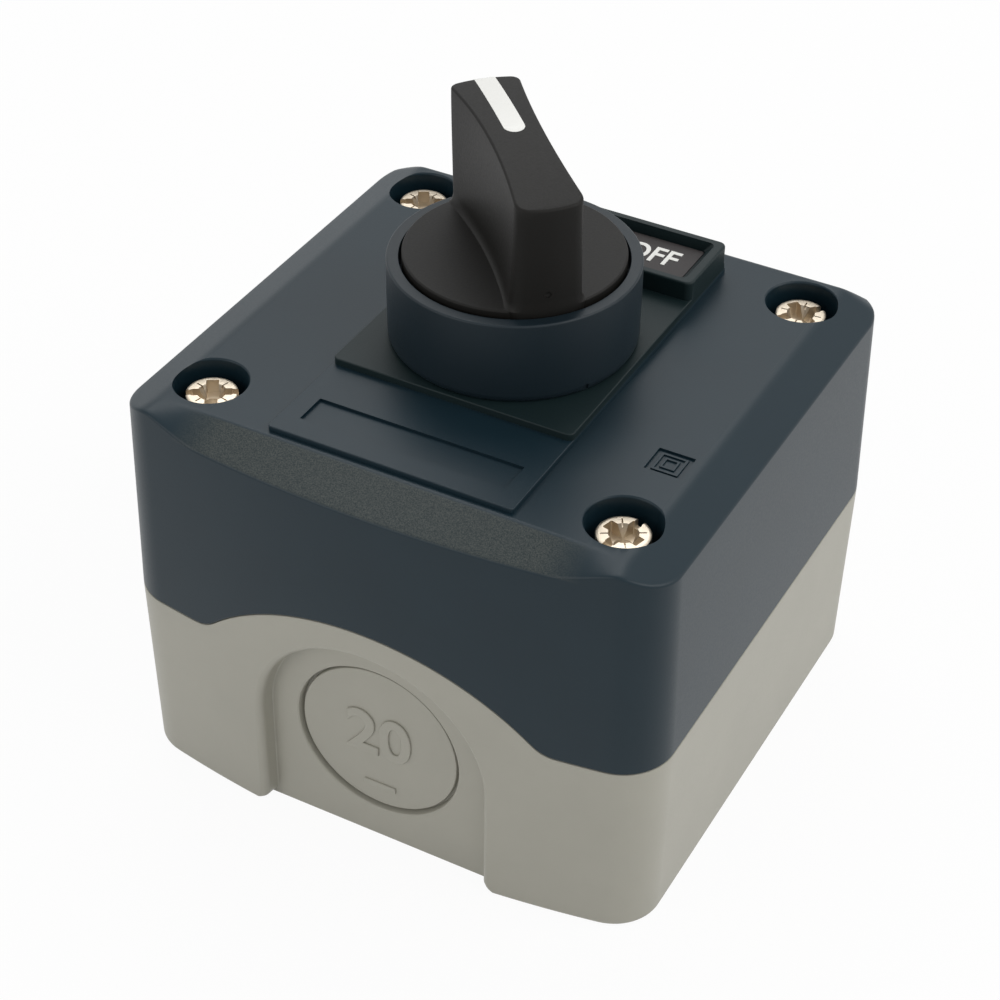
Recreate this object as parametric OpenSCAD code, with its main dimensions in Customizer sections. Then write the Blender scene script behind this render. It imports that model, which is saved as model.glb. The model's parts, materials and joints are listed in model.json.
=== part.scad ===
// Surface-mounted selector switch station: one turning knob on a two-piece moulded enclosure.
// Millimetres. The back face lies on z = 0, the knob points along +Z,
// and the origin is the centre of the back face.

/* [Enclosure] */
// Width across the two straight sides
box_w = 68; // [64:0.5:80]
// Length between the tips of the two bowed ends
box_l = 69; // [66:0.5:84]
// Height of the lid's flat top above the back face
box_h = 51.3; // [50:0.1:60]
// How far each end bows out over the full width
end_bow = 3.4; // [1:0.1:5]
// Radius of the corners in plan
corner_r = 6.3; // [4:0.1:8]
// Height of the joint between base and lid along the sides
parting_z = 24.2; // [22:0.1:26]
// Half the width of the arch in the joint at each end
arch_half_w = 21.6; // [20:0.1:24]
// Rise of that arch above the straight joint
arch_rise = 9.1; // [8:0.1:10]
// Radius that blends the arch into the straight joint
arch_blend_r = 4; // [1:0.1:6]
// Gap between base and lid along the joint
parting_gap = 0.1; // [0.02:0.01:0.4]
// Thickness of the side walls
wall_t = 2.5; // [2:0.1:3]
// Thickness of the lid's top
top_t = 2.6; // [2:0.1:3.4]
// Thickness of the base's floor
floor_t = 2.5; // [2:0.1:4]
// Width of the sloping edge along each straight side of the lid
side_bevel_run = 5.6; // [3:0.1:7]
// Width of the sloping edge at the middle of each bowed end of the lid
end_bevel_run = 5.8; // [3:0.1:6]
// Drop of the sloping edge over its width
bevel_drop = 2.2; // [0.5:0.1:3]

/* [Lid screws] */
// Distance of the screw axes from the straight sides
screw_inset_x = 8.5; // [8:0.1:9.5]
// Distance of the screw axes from the tips of the ends
screw_inset_y = 11; // [10.5:0.1:12]
// Diameter of the screw shank
screw_d = 4; // [3:0.1:4.4]
// Length of the shank inside its threaded insert
screw_bite = 5.4; // [4:0.1:6]
// Diameter of the screw head
screw_head_d = 6.2; // [5.8:0.1:7.6]
// Height of the screw head
screw_head_h = 2.6; // [2:0.1:3.2]
// Depth of the top of the head below the lid's top
screw_sink = 1.7; // [1:0.1:3]
// Diameter of the sunk hole round the head
counterbore_d = 8.6; // [8.2:0.1:9.2]
// Thickness of the seal under the head
screw_seal_t = 0.8; // [0.5:0.1:1.2]
// Length of the threaded insert
insert_len = 8; // [6:0.5:10]

/* [Cable entry] */
// Diameter of the knockout
entry_d = 20.5; // [16:0.1:22]
// Height of its centre above the back face
entry_z = 15.1; // [14:0.1:16]
// Width of the recess round it
entry_recess_w = 29; // [26:0.1:32]
// Height of the recess at its crown
entry_recess_h = 29.6; // [28:0.1:30]
// Depth of the recess below the tip of the bowed end
entry_recess_depth = 3.1; // [2:0.1:3.4]
// Wall left behind the recess
entry_wall_t = 1.6; // [1.4:0.1:2.2]
// Depth of the disc below the recess
knockout_sink = 0.6; // [0.2:0.1:0.7]
// Width of the thinned ring inside the wall, round the disc
knockout_ring_w = 0.8; // [0.4:0.1:1.5]
// Depth of that ring
knockout_ring_depth = 0.6; // [0.3:0.1:0.6]

/* [Wall fixing] */
// Distance between the two fixing holes in the floor
fixing_pitch = 48; // [44:0.5:50]
// Diameter of the fixing holes
fixing_d = 4.3; // [3.5:0.1:5]

/* [Label pad] */
// Width of the raised pad on the lid
pad_w = 30; // [28:0.5:34]
// Height of the pad above the lid's top
pad_h = 0.64; // [0.3:0.02:1]
// Distance from the tip of the front end to the pad
pad_inset = 6.5; // [6:0.1:8]
// Width of the label recess in the pad
label_w = 25.3; // [20:0.1:27]
// Length of the label recess along the lid
label_l = 4.2; // [3:0.1:6]
// Strip of pad in front of the label recess
label_margin = 2.8; // [1:0.1:3.5]
// Depth of the label recess
label_depth = 0.35; // [0.1:0.05:0.5]

/* [Double-square sign] */
// Width of the outer square
sign_w = 4.2; // [3:0.1:5]
// Distance of its centre from the straight side
sign_inset = 8.6; // [8:0.1:12]
// Distance of its centre in front of the knob's axis
sign_y = 12.1; // [8:0.1:14]
// Width of the engraved lines
sign_line_w = 0.35; // [0.2:0.05:0.6]
// Depth of the engraved lines
sign_depth = 0.3; // [0.1:0.05:0.6]

/* [Legend holder] */
// Thickness of the plate under the bezel
plate_t = 0.86; // [0.6:0.02:1.5]
// Distance from the knob's axis to the plate's front edge
plate_front = 14.7; // [14.4:0.1:16]
// Distance from the knob's axis to the plate's back edge
plate_back = 25.3; // [24.5:0.1:27]
// Distance from the knob's axis to the front of the raised frame
frame_front = 15; // [14.7:0.1:16]
// Height of the raised frame above the plate
frame_h = 2.4; // [1.5:0.1:3]
// Width of the frame's side rims
frame_rim_x = 2.1; // [1:0.1:3]
// Width of the frame's front and back rims
frame_rim_y = 1.7; // [1:0.1:2.5]
// Depth of the legend insert below the frame's top
insert_sink = 1.1; // [0.5:0.1:1.4]

/* [Head] */
// Diameter of the hole in the lid
panel_hole_d = 22.4; // [22.3:0.1:22.7]
// Diameter of the head's neck in that hole
neck_d = 22; // [21.8:0.1:22.2]
// Length of the neck below the lid
neck_drop = 10.1; // [9.5:0.1:11]
// Width of the key that stops the head turning
key_w = 3; // [2:0.1:3.4]
// Reach of the key from the knob's axis
key_reach = 12.4; // [12:0.1:12.6]
// Clearance round the key
key_gap = 0.2; // [0.1:0.05:0.4]
// Outer diameter of the bezel ring
bezel_d = 28.6; // [28:0.1:29]
// Height of the bezel ring above the plate
bezel_h = 9.9; // [9:0.1:11]
// Height of the fixing nut
nut_h = 5; // [4:0.1:5.4]
// Thickness of the washer above the nut
washer_t = 0.5; // [0.3:0.1:0.8]

/* [Knob] */
// Diameter of the knob's disc
disc_d = 25.4; // [25:0.1:25.8]
// Thickness of the disc
disc_t = 2.2; // [1.8:0.1:2.6]
// Height of the disc's top above the bezel
disc_proud = 0.15; // [0.1:0.05:1]
// Gap between the disc and the bezel
disc_gap = 0.3; // [0.3:0.05:0.5]
// Length of the lever from end to end
lever_l = 26; // [24:0.1:26.2]
// Width of the lever at its ends
lever_end_w = 7.5; // [7:0.1:9]
// Width of the lever at its waist
lever_waist_w = 6.14; // [6:0.02:7]
// Height of the lever's crown above the disc
lever_h = 15.35; // [12:0.05:18]
// Radius of the lever's curved top
lever_top_r = 55; // [40:1:90]
// Distance of the crown from the knob's axis, towards the pointer
lever_crown_x = 4.5; // [0:0.1:6]
// Width of the white pointer strip
pointer_w = 2.56; // [1.6:0.02:3.2]
// Thickness of the pointer strip
pointer_t = 1; // [0.6:0.1:1.6]
// Distance from the knob's axis to the pointer's rounded end
pointer_start = 0.5; // [0:0.1:4]

/* [Motion] */
// Angle between the two positions of the knob
turn_angle = 90; // [60:1:90]
// How far the cam presses each pusher
press_travel = 2.6; // [1.5:0.1:2.6]
// Distance of each pusher from the knob's axis
pusher_x = 5.65; // [5.6:0.05:5.8]
// Diameter of the pushers
pusher_d = 3.2; // [3:0.1:3.4]

/* [Contact blocks] */
// Width of one block with its cover
block_w = 10.5; // [10.4:0.1:11]
// Length of one block
block_l = 38; // [37:0.5:39]
// Height of one block
block_h = 20; // [19.6:0.1:21]
// Wall thickness of the block housing
block_wall = 1.2; // [1:0.1:1.3]
// Thickness of the side cover
cover_t = 1; // [0.8:0.1:1.2]
// Distance of the contact tips from the plunger's axis
tip_y = 7.2; // [6.9:0.1:7.4]
// Distance of the terminal screws from the plunger's axis
terminal_y = 14.6; // [14.5:0.1:15]
// Diameter of the terminal screw's shank
terminal_d = 3.4; // [3:0.1:3.5]

/* [Hidden] */

$fn = 96;
// Facets of the large circles
fine_fn = 720;
// Overrun of every cut past the face that it opens
cut = 0.5;
// Radial clearance of a running fit
run_gap = 0.05;
// Clearance between fixed pieces that sit in one another
seat_gap = 0.1;
// Gap kept between pieces that pass each other
free_gap = 0.3;

// Plan of the enclosure: a large circle for each bowed end, blended into the small corner circles
half_w = box_w / 2;
half_l = box_l / 2;
bow_r = (half_w * half_w + end_bow * end_bow) / (2 * end_bow);
corner_x = half_w - corner_r;
corner_y = sqrt(pow(bow_r - corner_r, 2) - corner_x * corner_x) - (bow_r - half_l);
bow_angle = asin(corner_x / (bow_r - corner_r));
bow_steps = 8;
corner_steps = 10;
screw_x = half_w - screw_inset_x;
screw_y = half_l - screw_inset_y;

// Arch of the joint at each end, with the blend at its foot
arch_r = (arch_half_w * arch_half_w + arch_rise * arch_rise) / (2 * arch_rise);
arch_z = parting_z + arch_rise - arch_r;
blend_x = sqrt(pow(arch_r + arch_blend_r, 2) - pow(parting_z + arch_blend_r - arch_z, 2));
blend_share = arch_r / (arch_r + arch_blend_r);

// Inside of the enclosure
entry_r = entry_d / 2;
recess_r = entry_recess_w / 2;
entry_face_y = half_l - entry_recess_depth;
inner_end_y = entry_face_y - entry_wall_t;
lid_under_z = box_h - top_t;
post_r = 4.6;
column_wall = 1.3;
column_r = counterbore_d / 2 + column_wall;
web_t = 2;

// Gasket in the rim of the base
gasket_inset = 0.8;
gasket_w = 0.9;
gasket_t = 1.2;

// Lid screws, seals and inserts
screw_r = screw_d / 2;
head_r = screw_head_d / 2;
screw_seat_z = box_h - screw_sink - screw_head_h - screw_seal_t;
under_head_z = screw_seat_z + screw_seal_t;
screw_edge_h = 1.9;
recess_arm_w = 1.1;
recess_span = 4.8;
recess_depth = 1.3;
seal_edge_gap = 0.3;
insert_wall = 0.9;
insert_r = screw_r + run_gap + insert_wall;
insert_top_z = parting_z - seat_gap;
screw_len = under_head_z - insert_top_z + screw_bite;

// Levels of the head, from the plate down to the contact blocks
plate_z = box_h + pad_h;
plate_top_z = plate_z + plate_t;
bezel_top_z = plate_top_z + bezel_h;
disc_top_z = bezel_top_z + disc_proud;
disc_under_z = disc_top_z - disc_t;
ledge_z = disc_under_z - free_gap;
neck_bottom_z = lid_under_z - neck_drop;

// Legend holder
panel_hole_r = panel_hole_d / 2;
legend_gap = 0.15;
legend_top_z = plate_top_z + frame_h - insert_sink;

// Bezel and neck
bezel_r = bezel_d / 2;
rim_cut = 0.4;
neck_r = neck_d / 2;
disc_r = disc_d / 2;
disc_bore_r = disc_r + disc_gap;
shaft_wall = 5.3;
shaft_bore_r = bezel_r - shaft_wall;
shaft_r = shaft_bore_r - run_gap;
neck_wall = 1.2;
chamber_r = neck_r - neck_wall;
track_depth = 0.35;
track_r = chamber_r + track_depth;
track_h = 4.1;
notch_depth = 0.25;
key_drop = 3.3;
gasket_wall = 0.6;
head_gasket_t = 1;
head_gasket_in_r = key_reach + free_gap;
head_gasket_out_r = bezel_r - gasket_wall;

// Nut and washer under the lid
nut_flange = 3.3;
nut_r = neck_r + nut_flange;
nut_notches = 8;
nut_notch_w = 3;
nut_notch_depth = 1.2;
washer_flange = 2.9;
washer_r = neck_r + washer_flange;

// Rotor and the screw that holds the knob on it
flange_r = chamber_r - free_gap;
flange_t = 3.4;
flange_top_z = plate_top_z - free_gap;
flange_z = flange_top_z - flange_t;
cam_wall_gap = 1.2;
cam_r = chamber_r - cam_wall_gap;
tongue_l = 12;
tongue_w = 3.4;
tongue_h = 6.5;
knob_screw_r = 1;
knob_screw_head_r = 2;
knob_screw_head_h = 1.6;
knob_screw_len = 18;
rotor_bore_r = knob_screw_head_r + 2 * free_gap;
disc_edge_cut = 0.3;

// Seal in the rotor's groove
seal_r = 0.75;
seal_drop = 3.2;
seal_mid_r = shaft_bore_r - run_gap - seal_r;
seal_z = ledge_z - seal_drop;

// Detent: a sprung ball in the rotor's flange, over a track with a notch for each position
ball_r = 1;
ball_proud = 0.45;
ball_x = flange_r + ball_proud - ball_r;
ball_hole_r = ball_r + seat_gap;
notch_r = ball_r + free_gap;
detent_z = flange_z + flange_t / 2;
detent_wall = 1;
detent_floor_x = rotor_bore_r + detent_wall;
detent_wire_r = 0.15;
detent_spring_r = 0.8;
detent_turns = 6;

// Cam: two half planes, tilted opposite ways about the line half-way between the two positions
cam_rise = press_travel / (2 * sin(turn_angle / 2));
cam_tilt = atan(cam_rise / pusher_x);
cam_drop = 5.95;
cam_z = neck_bottom_z + cam_drop;
cam_gap = 0.1;
pusher_r = pusher_d / 2;
dome_z = cam_z - press_travel / 2 - pusher_r / cos(cam_tilt) - cam_gap;
guide_wall = 1;
guide_r = pusher_r + run_gap + guide_wall;
guide_top_z = cam_z - cam_rise * (pusher_x + guide_r) / pusher_x - free_gap;

// Contact carrier under the neck
carrier_gap = 0.7;
carrier_top_z = lid_under_z - washer_t - nut_h - carrier_gap;
carrier_floor_z = neck_bottom_z - seat_gap;
carrier_floor_t = 4.5;
carrier_z = carrier_floor_z - carrier_floor_t;
carrier_wall = 2.2;
carrier_w = neck_d + 2 * carrier_wall;
arm_gap = 0.2;
arm_t = 1.5;
arm_w = 20;
arm_y = block_l / 2 + arm_gap;
carrier_l = 2 * (arm_y + arm_t);
hook_reach = 0.9;
hook_h = 1.4;
hook_drop = 6;
pocket_w = 5.6;
pocket_l = 5;
pocket_x = 8.6;
pocket_y = 15.6;
clamp_screw_r = 1.5;
clamp_slot_w = 0.6;
clamp_slot_depth = 0.8;
clamp_screw_z = (carrier_top_z + carrier_floor_z) / 2;

// Contact block, measured from its plunger's axis and down from its top face
stub = 0.2;
block_side = block_w / 2;
cover_side = block_side - cover_t;
block_end = block_l / 2;
inner_side = block_side - block_wall;
chamber_end = 10;
divider_end = chamber_end + block_wall;
terminal_top = 10;
pocket_floor = block_h - block_wall;
spring_h = 4.8;
spring_r = 1.65;
spring_wire_r = 0.2;
spring_turns = 4;
spigot_r = 0.9;
spigot_h = 1;
plunger_w = 5;
plunger_l = 8;
plunger_h = 7;
plunger_foot = pocket_floor - spring_h;
stem_r = 1.2;
bridge_lift = 1;
bridge_w = 2.6;
bridge_t = 0.6;
bridge_overhang = 1;
bridge_tip_t = 0.7;
tip_r = 1;
tip_t = 0.55;
touch_gap = 0.05;
strip_w = 3;
strip_t = 0.8;
terminal_pad_w = 6.4;
terminal_pad_l = 6.4;
clamp_w = 6.2;
clamp_t = 1.2;
wire_gap = 0.5;
terminal_r = terminal_d / 2;
terminal_head_r = 2.8;
terminal_head_h = 2.2;
terminal_len = 8.8;
terminal_slot_w = 0.9;
terminal_slot_depth = 1;
bridge_foot = plunger_foot - bridge_lift;
no_tip_level = bridge_foot + bridge_tip_t + touch_gap;
strip_foot = no_tip_level + tip_t + strip_t;
nc_tip_level = bridge_foot - bridge_t - bridge_tip_t - press_travel - touch_gap;
nc_strip_foot = nc_tip_level - tip_t;
clamp_top = strip_foot + wire_gap;
clamp_foot = clamp_top + clamp_t;
hook_notch_gap = 0.2;
rib_t = 0.6;

// Steps round one turn of a spring, and sides of its wire
coil_steps = 14;
wire_sides = 6;

// Colours
base_colour = [0.58, 0.58, 0.54];
lid_colour = [0.19, 0.24, 0.28];
plate_colour = [0.2, 0.22, 0.22];
insert_colour = [0.23, 0.21, 0.21];
bezel_colour = [0.15, 0.19, 0.22];
knob_colour = [0.18, 0.18, 0.17];
pointer_colour = [0.91, 0.91, 0.89];
screw_colour = [0.8, 0.74, 0.64];
brass_colour = [0.78, 0.62, 0.35];
steel_colour = [0.7, 0.71, 0.72];
rubber_colour = [0.1, 0.1, 0.1];
carrier_colour = [0.25, 0.26, 0.28];
no_colour = [0.28, 0.55, 0.36];
nc_colour = [0.7, 0.22, 0.2];
housing_colour = [0.85, 0.85, 0.82];

// One quarter of the enclosure's outline, moved in by an inset: half of a bowed end, then the corner
function quarter(inset) = concat(
    [for (i = [0 : bow_steps]) let (a = i * bow_angle / bow_steps)
        [(bow_r - inset) * sin(a), half_l - bow_r + (bow_r - inset) * cos(a)]],
    [for (i = [1 : corner_steps]) let (a = bow_angle + i * (90 - bow_angle) / corner_steps)
        [corner_x + (corner_r - inset) * sin(a), corner_y + (corner_r - inset) * cos(a)]]
);

module plan(inset) {
    q = quarter(inset);
    last = len(q) - 1;
    polygon(concat(
        q,
        [for (i = [last : -1 : 0]) [q[i][0], -q[i][1]]],
        [for (i = [1 : last]) [-q[i][0], -q[i][1]]],
        [for (i = [last : -1 : 1]) [-q[i][0], q[i][1]]]
    ));
}

module plan_block(inset, low, high) {
    translate([0, 0, low]) linear_extrude(high - low) plan(inset);
}

// Everything below the joint, shifted up by a lift
module below_joint(lift) {
    translate([0, 0, lift]) rotate([90, 0, 0]) translate([0, 0, -box_l]) linear_extrude(2 * box_l) {
        translate([-box_w, -box_h]) square([2 * box_w, box_h + parting_z]);
        intersection() {
            translate([0, arch_z]) circle(r = arch_r, $fn = fine_fn);
            translate([-box_w, parting_z]) square([2 * box_w, box_h]);
        }
        for (turn = [0, 1]) mirror([turn, 0]) difference() {
            polygon([
                [blend_x * blend_share, parting_z - cut],
                [blend_x, parting_z - cut],
                [blend_x, parting_z],
                [blend_x * blend_share, arch_z + (parting_z + arch_blend_r - arch_z) * blend_share]
            ]);
            translate([blend_x, parting_z + arch_blend_r]) circle(r = arch_blend_r);
        }
    }
}

// The hollow of the enclosure, flat at its ends behind the cable entries
module cavity(low, high) {
    intersection() {
        plan_block(wall_t, low, high);
        translate([-half_w, -inner_end_y, low]) cube([box_w, 2 * inner_end_y, high - low]);
    }
}

// A round post in each corner, tied to both walls by webs
module corner_posts(r, low, high) {
    intersection() {
        plan_block(wall_t / 2, low, high);
        for (sx = [-1, 1], sy = [-1, 1]) translate([sx * screw_x, sy * screw_y, low]) {
            cylinder(r = r, h = high - low);
            translate([sx > 0 ? 0 : -screw_inset_x, -web_t / 2, 0]) cube([screw_inset_x, web_t, high - low]);
            translate([-web_t / 2, sy > 0 ? 0 : -screw_inset_y, 0]) cube([web_t, screw_inset_y, high - low]);
        }
    }
}

module at_screws(level) {
    for (sx = [-1, 1], sy = [-1, 1]) translate([sx * screw_x, sy * screw_y, level]) children();
}

// Cable entry at one end: an arched recess open at the back face, and a sunk disc with a thinned ring inside
module entry_cuts() {
    rotate([90, 0, 0]) translate([0, 0, entry_face_y]) linear_extrude(half_l) {
        translate([0, entry_recess_h - recess_r]) circle(r = recess_r);
        translate([-recess_r, -cut]) square([entry_recess_w, entry_recess_h - recess_r + cut]);
    }
    translate([0, -entry_face_y, entry_z]) rotate([90, 0, 0]) {
        translate([0, 0, -knockout_sink]) cylinder(r = entry_r, h = knockout_sink + cut);
        difference() {
            translate([0, 0, -entry_wall_t - cut]) cylinder(r = entry_r, h = knockout_ring_depth + cut);
            translate([0, 0, -entry_wall_t - 2 * cut])
                cylinder(r = entry_r - knockout_ring_w, h = knockout_ring_depth + 3 * cut);
        }
    }
}

module gasket_band(low_inset, high_inset) {
    difference() {
        plan_block(low_inset, 0, box_h);
        plan_block(high_inset, -cut, box_h + cut);
    }
}

module enclosure_base() {
    color(base_colour) difference() {
        union() {
            difference() {
                intersection() {
                    plan_block(0, 0, box_h);
                    below_joint(0);
                }
                cavity(floor_t, box_h);
            }
            corner_posts(post_r, floor_t / 2, parting_z);
        }
        difference() {
            gasket_band(gasket_inset, gasket_inset + gasket_w);
            below_joint(-gasket_t);
        }
        for (turn = [0, 180]) rotate([0, 0, turn]) entry_cuts();
        at_screws(insert_top_z - insert_len) cylinder(r = insert_r + run_gap, h = insert_len + cut);
        for (side = [-1, 1]) translate([0, side * fixing_pitch / 2, -cut])
            cylinder(r = fixing_d / 2, h = floor_t + 2 * cut);
    }
}

module lid_gasket() {
    color(rubber_colour) difference() {
        intersection() {
            gasket_band(gasket_inset + run_gap, gasket_inset + gasket_w - run_gap);
            below_joint(0);
        }
        below_joint(run_gap - gasket_t);
    }
}

// Notch for the key of the head, on the side away from the front
module key_notch(low, high) {
    translate([-key_w / 2 - key_gap, 0, low]) cube([key_w + 2 * key_gap, key_reach + key_gap, high - low]);
}

module square_line(width, low, high) {
    translate([0, 0, low]) linear_extrude(high - low) difference() {
        square(width, center = true);
        square(width - 2 * sign_line_w, center = true);
    }
}

module lid_block() {
    intersection() {
        plan_block(0, 0, box_h);
        rotate([90, 0, 0]) translate([0, 0, -box_l]) linear_extrude(2 * box_l) polygon([
            [-half_w, 0], [half_w, 0], [half_w, box_h - bevel_drop], [half_w - side_bevel_run, box_h],
            [side_bevel_run - half_w, box_h], [-half_w, box_h - bevel_drop]
        ]);
        rotate([90, 0, 90]) translate([0, 0, -box_w]) linear_extrude(2 * box_w) polygon([
            [-half_l, 0], [half_l, 0], [half_l, box_h - bevel_drop], [half_l - end_bevel_run, box_h],
            [end_bevel_run - half_l, box_h], [-half_l, box_h - bevel_drop]
        ]);
    }
}

module enclosure_lid() {
    label_y = pad_inset + label_margin - half_l;
    color(lid_colour) difference() {
        union() {
            difference() {
                lid_block();
                cavity(0, lid_under_z);
                below_joint(parting_gap);
            }
            difference() {
                intersection() {
                    corner_posts(column_r, floor_t, lid_under_z + top_t / 2);
                    lid_block();
                }
                below_joint(parting_gap);
            }
            translate([-pad_w / 2, pad_inset - half_l, box_h - pad_h])
                cube([pad_w, half_l - pad_inset + plate_back, 2 * pad_h]);
        }
        at_screws(screw_seat_z) cylinder(r = counterbore_d / 2, h = box_h);
        at_screws(0) cylinder(r = screw_r + free_gap, h = box_h);
        translate([0, 0, lid_under_z - cut]) cylinder(r = panel_hole_r, h = top_t + pad_h + 2 * cut);
        key_notch(lid_under_z - cut, plate_z + cut);
        translate([-label_w / 2, label_y, plate_z - label_depth]) cube([label_w, label_l, label_depth + cut]);
        translate([half_w - sign_inset, -sign_y, 0]) {
            square_line(sign_w, box_h - sign_depth, box_h + cut);
            square_line(sign_w / 2, box_h - sign_depth, box_h + cut);
        }
    }
}

module threaded_inserts() {
    color(brass_colour) at_screws(insert_top_z - insert_len) difference() {
        cylinder(r = insert_r, h = insert_len);
        translate([0, 0, -cut]) cylinder(r = screw_r + run_gap, h = insert_len + 2 * cut);
    }
}

module lid_screws() {
    dome_r = (head_r * head_r + pow(screw_head_h - screw_edge_h, 2)) / (2 * (screw_head_h - screw_edge_h));
    color(screw_colour) at_screws(under_head_z) {
        translate([0, 0, -screw_len]) cylinder(r = screw_r, h = screw_len);
        difference() {
            intersection() {
                cylinder(r = head_r, h = screw_head_h);
                translate([0, 0, screw_head_h - dome_r]) sphere(r = dome_r);
            }
            for (turn = [0, 90]) rotate([0, 0, turn])
                translate([-recess_span / 2, -recess_arm_w / 2, screw_head_h - recess_depth])
                cube([recess_span, recess_arm_w, recess_depth + cut]);
        }
    }
}

module screw_seals() {
    color(rubber_colour) at_screws(screw_seat_z) difference() {
        cylinder(r = head_r + seal_edge_gap, h = screw_seal_t);
        translate([0, 0, -cut]) cylinder(r = screw_r + run_gap, h = screw_seal_t + 2 * cut);
    }
}

module legend_holder() {
    color(plate_colour) difference() {
        union() {
            translate([-pad_w / 2, -plate_front, plate_z]) cube([pad_w, plate_front + plate_back, plate_t]);
            translate([-pad_w / 2, frame_front, plate_z])
                cube([pad_w, plate_back - frame_front, plate_t + frame_h]);
        }
        translate([0, 0, plate_z - cut]) cylinder(r = panel_hole_r, h = plate_t + 2 * cut);
        key_notch(plate_z - cut, plate_top_z + cut);
        translate([frame_rim_x - pad_w / 2, frame_front + frame_rim_y, plate_top_z])
            cube([pad_w - 2 * frame_rim_x, plate_back - frame_front - 2 * frame_rim_y, frame_h + cut]);
    }
}

module legend_insert() {
    color(insert_colour)
        translate([frame_rim_x + legend_gap - pad_w / 2, frame_front + frame_rim_y + legend_gap, plate_top_z])
        cube([
            pad_w - 2 * (frame_rim_x + legend_gap),
            plate_back - frame_front - 2 * (frame_rim_y + legend_gap),
            legend_top_z - plate_top_z
        ]);
}

module head_bezel() {
    color(bezel_colour) difference() {
        union() {
            rotate_extrude() polygon([
                [bezel_r, plate_top_z], [bezel_r, bezel_top_z - rim_cut], [bezel_r - rim_cut, bezel_top_z],
                [disc_bore_r, bezel_top_z], [disc_bore_r, ledge_z], [shaft_bore_r, ledge_z],
                [shaft_bore_r, plate_top_z], [track_r, plate_top_z], [track_r, plate_top_z - track_h],
                [chamber_r, plate_top_z - track_h], [chamber_r, neck_bottom_z], [neck_r, neck_bottom_z],
                [neck_r, plate_top_z]
            ]);
            difference() {
                translate([-key_w / 2, 0, plate_top_z - key_drop]) cube([key_w, key_reach, key_drop + cut]);
                translate([0, 0, plate_top_z - key_drop - cut])
                    cylinder(r = (neck_r + track_r) / 2, h = key_drop + 3 * cut);
            }
        }
        translate([0, 0, plate_top_z - cut]) difference() {
            cylinder(r = head_gasket_out_r, h = head_gasket_t + cut);
            translate([0, 0, -cut]) cylinder(r = head_gasket_in_r, h = head_gasket_t + 3 * cut);
        }
        for (turn = [0, -turn_angle]) rotate([0, 0, turn])
            translate([track_r + notch_depth - notch_r, 0, plate_top_z - track_h])
            cylinder(r = notch_r, h = track_h);
    }
}

module head_gasket() {
    color(rubber_colour) translate([0, 0, plate_top_z]) difference() {
        cylinder(r = head_gasket_out_r - run_gap, h = head_gasket_t - run_gap);
        translate([0, 0, -cut]) cylinder(r = head_gasket_in_r + run_gap, h = head_gasket_t + 2 * cut);
    }
}

module lock_washer() {
    color(steel_colour) translate([0, 0, lid_under_z - washer_t]) difference() {
        cylinder(r = washer_r, h = washer_t);
        translate([0, 0, -cut]) cylinder(r = neck_r + seat_gap, h = washer_t + 2 * cut);
    }
}

module fixing_nut() {
    color(carrier_colour) translate([0, 0, lid_under_z - washer_t - nut_h]) difference() {
        cylinder(r = nut_r, h = nut_h);
        translate([0, 0, -cut]) cylinder(r = neck_r + run_gap, h = nut_h + 2 * cut);
        for (i = [1 : nut_notches]) rotate([0, 0, i * 360 / nut_notches])
            translate([nut_r - nut_notch_depth, -nut_notch_w / 2, -cut])
            cube([nut_r, nut_notch_w, nut_h + 2 * cut]);
    }
}

// Pieces that turn are drawn with the pointer along +X, then set to the photographed position
module at_rest_turn() {
    rotate([0, 0, 90 + turn_angle / 2]) children();
}

// The curved top of the lever, lowered by a skin
module lever_top(skin) {
    translate([lever_crown_x, lever_end_w, disc_top_z + lever_h - lever_top_r]) rotate([90, 0, 0])
        cylinder(r = lever_top_r - skin, h = 2 * lever_end_w, $fn = fine_fn);
}

module lever() {
    lever_r = lever_l / 2;
    waist_cut = (lever_end_w - lever_waist_w) / 2;
    waist_r = (lever_r * lever_r + waist_cut * waist_cut) / (2 * waist_cut);
    difference() {
        intersection() {
            translate([0, 0, disc_top_z - disc_t / 2]) cylinder(r = lever_r, h = lever_h + disc_t);
            translate([-lever_l, -lever_end_w / 2, disc_top_z - disc_t / 2])
                cube([2 * lever_l, lever_end_w, lever_h + disc_t]);
            lever_top(0);
        }
        for (side = [-1, 1]) translate([0, side * (lever_waist_w / 2 + waist_r), disc_top_z - disc_t])
            cylinder(r = waist_r, h = lever_h + 2 * disc_t, $fn = fine_fn);
    }
}

module pointer_strip(width) {
    translate([pointer_start + pointer_w / 2, 0, disc_top_z]) linear_extrude(lever_h + cut) {
        circle(r = width / 2);
        translate([0, -width / 2]) square([lever_l, width]);
    }
}

module knob() {
    color(knob_colour) at_rest_turn() difference() {
        union() {
            translate([0, 0, disc_under_z]) rotate_extrude() polygon([
                [0, 0], [disc_r, 0], [disc_r, disc_t - disc_edge_cut],
                [disc_r - disc_edge_cut, disc_t], [0, disc_t]
            ]);
            lever();
        }
        translate([-tongue_l / 2 - run_gap, -tongue_w / 2 - run_gap, disc_under_z - cut])
            cube([tongue_l + 2 * run_gap, tongue_w + 2 * run_gap, tongue_h + run_gap + cut]);
        translate([0, 0, disc_under_z]) cylinder(r = knob_screw_r + run_gap, h = knob_screw_len - tongue_h);
        difference() {
            pointer_strip(pointer_w);
            lever_top(pointer_t);
        }
    }
}

module pointer_inlay() {
    color(pointer_colour) at_rest_turn() difference() {
        intersection() {
            pointer_strip(pointer_w - 2 * run_gap);
            lever_top(0);
            translate([0, 0, disc_top_z]) cylinder(r = lever_l / 2, h = 2 * lever_h);
        }
        lever_top(pointer_t - run_gap);
    }
}

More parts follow.
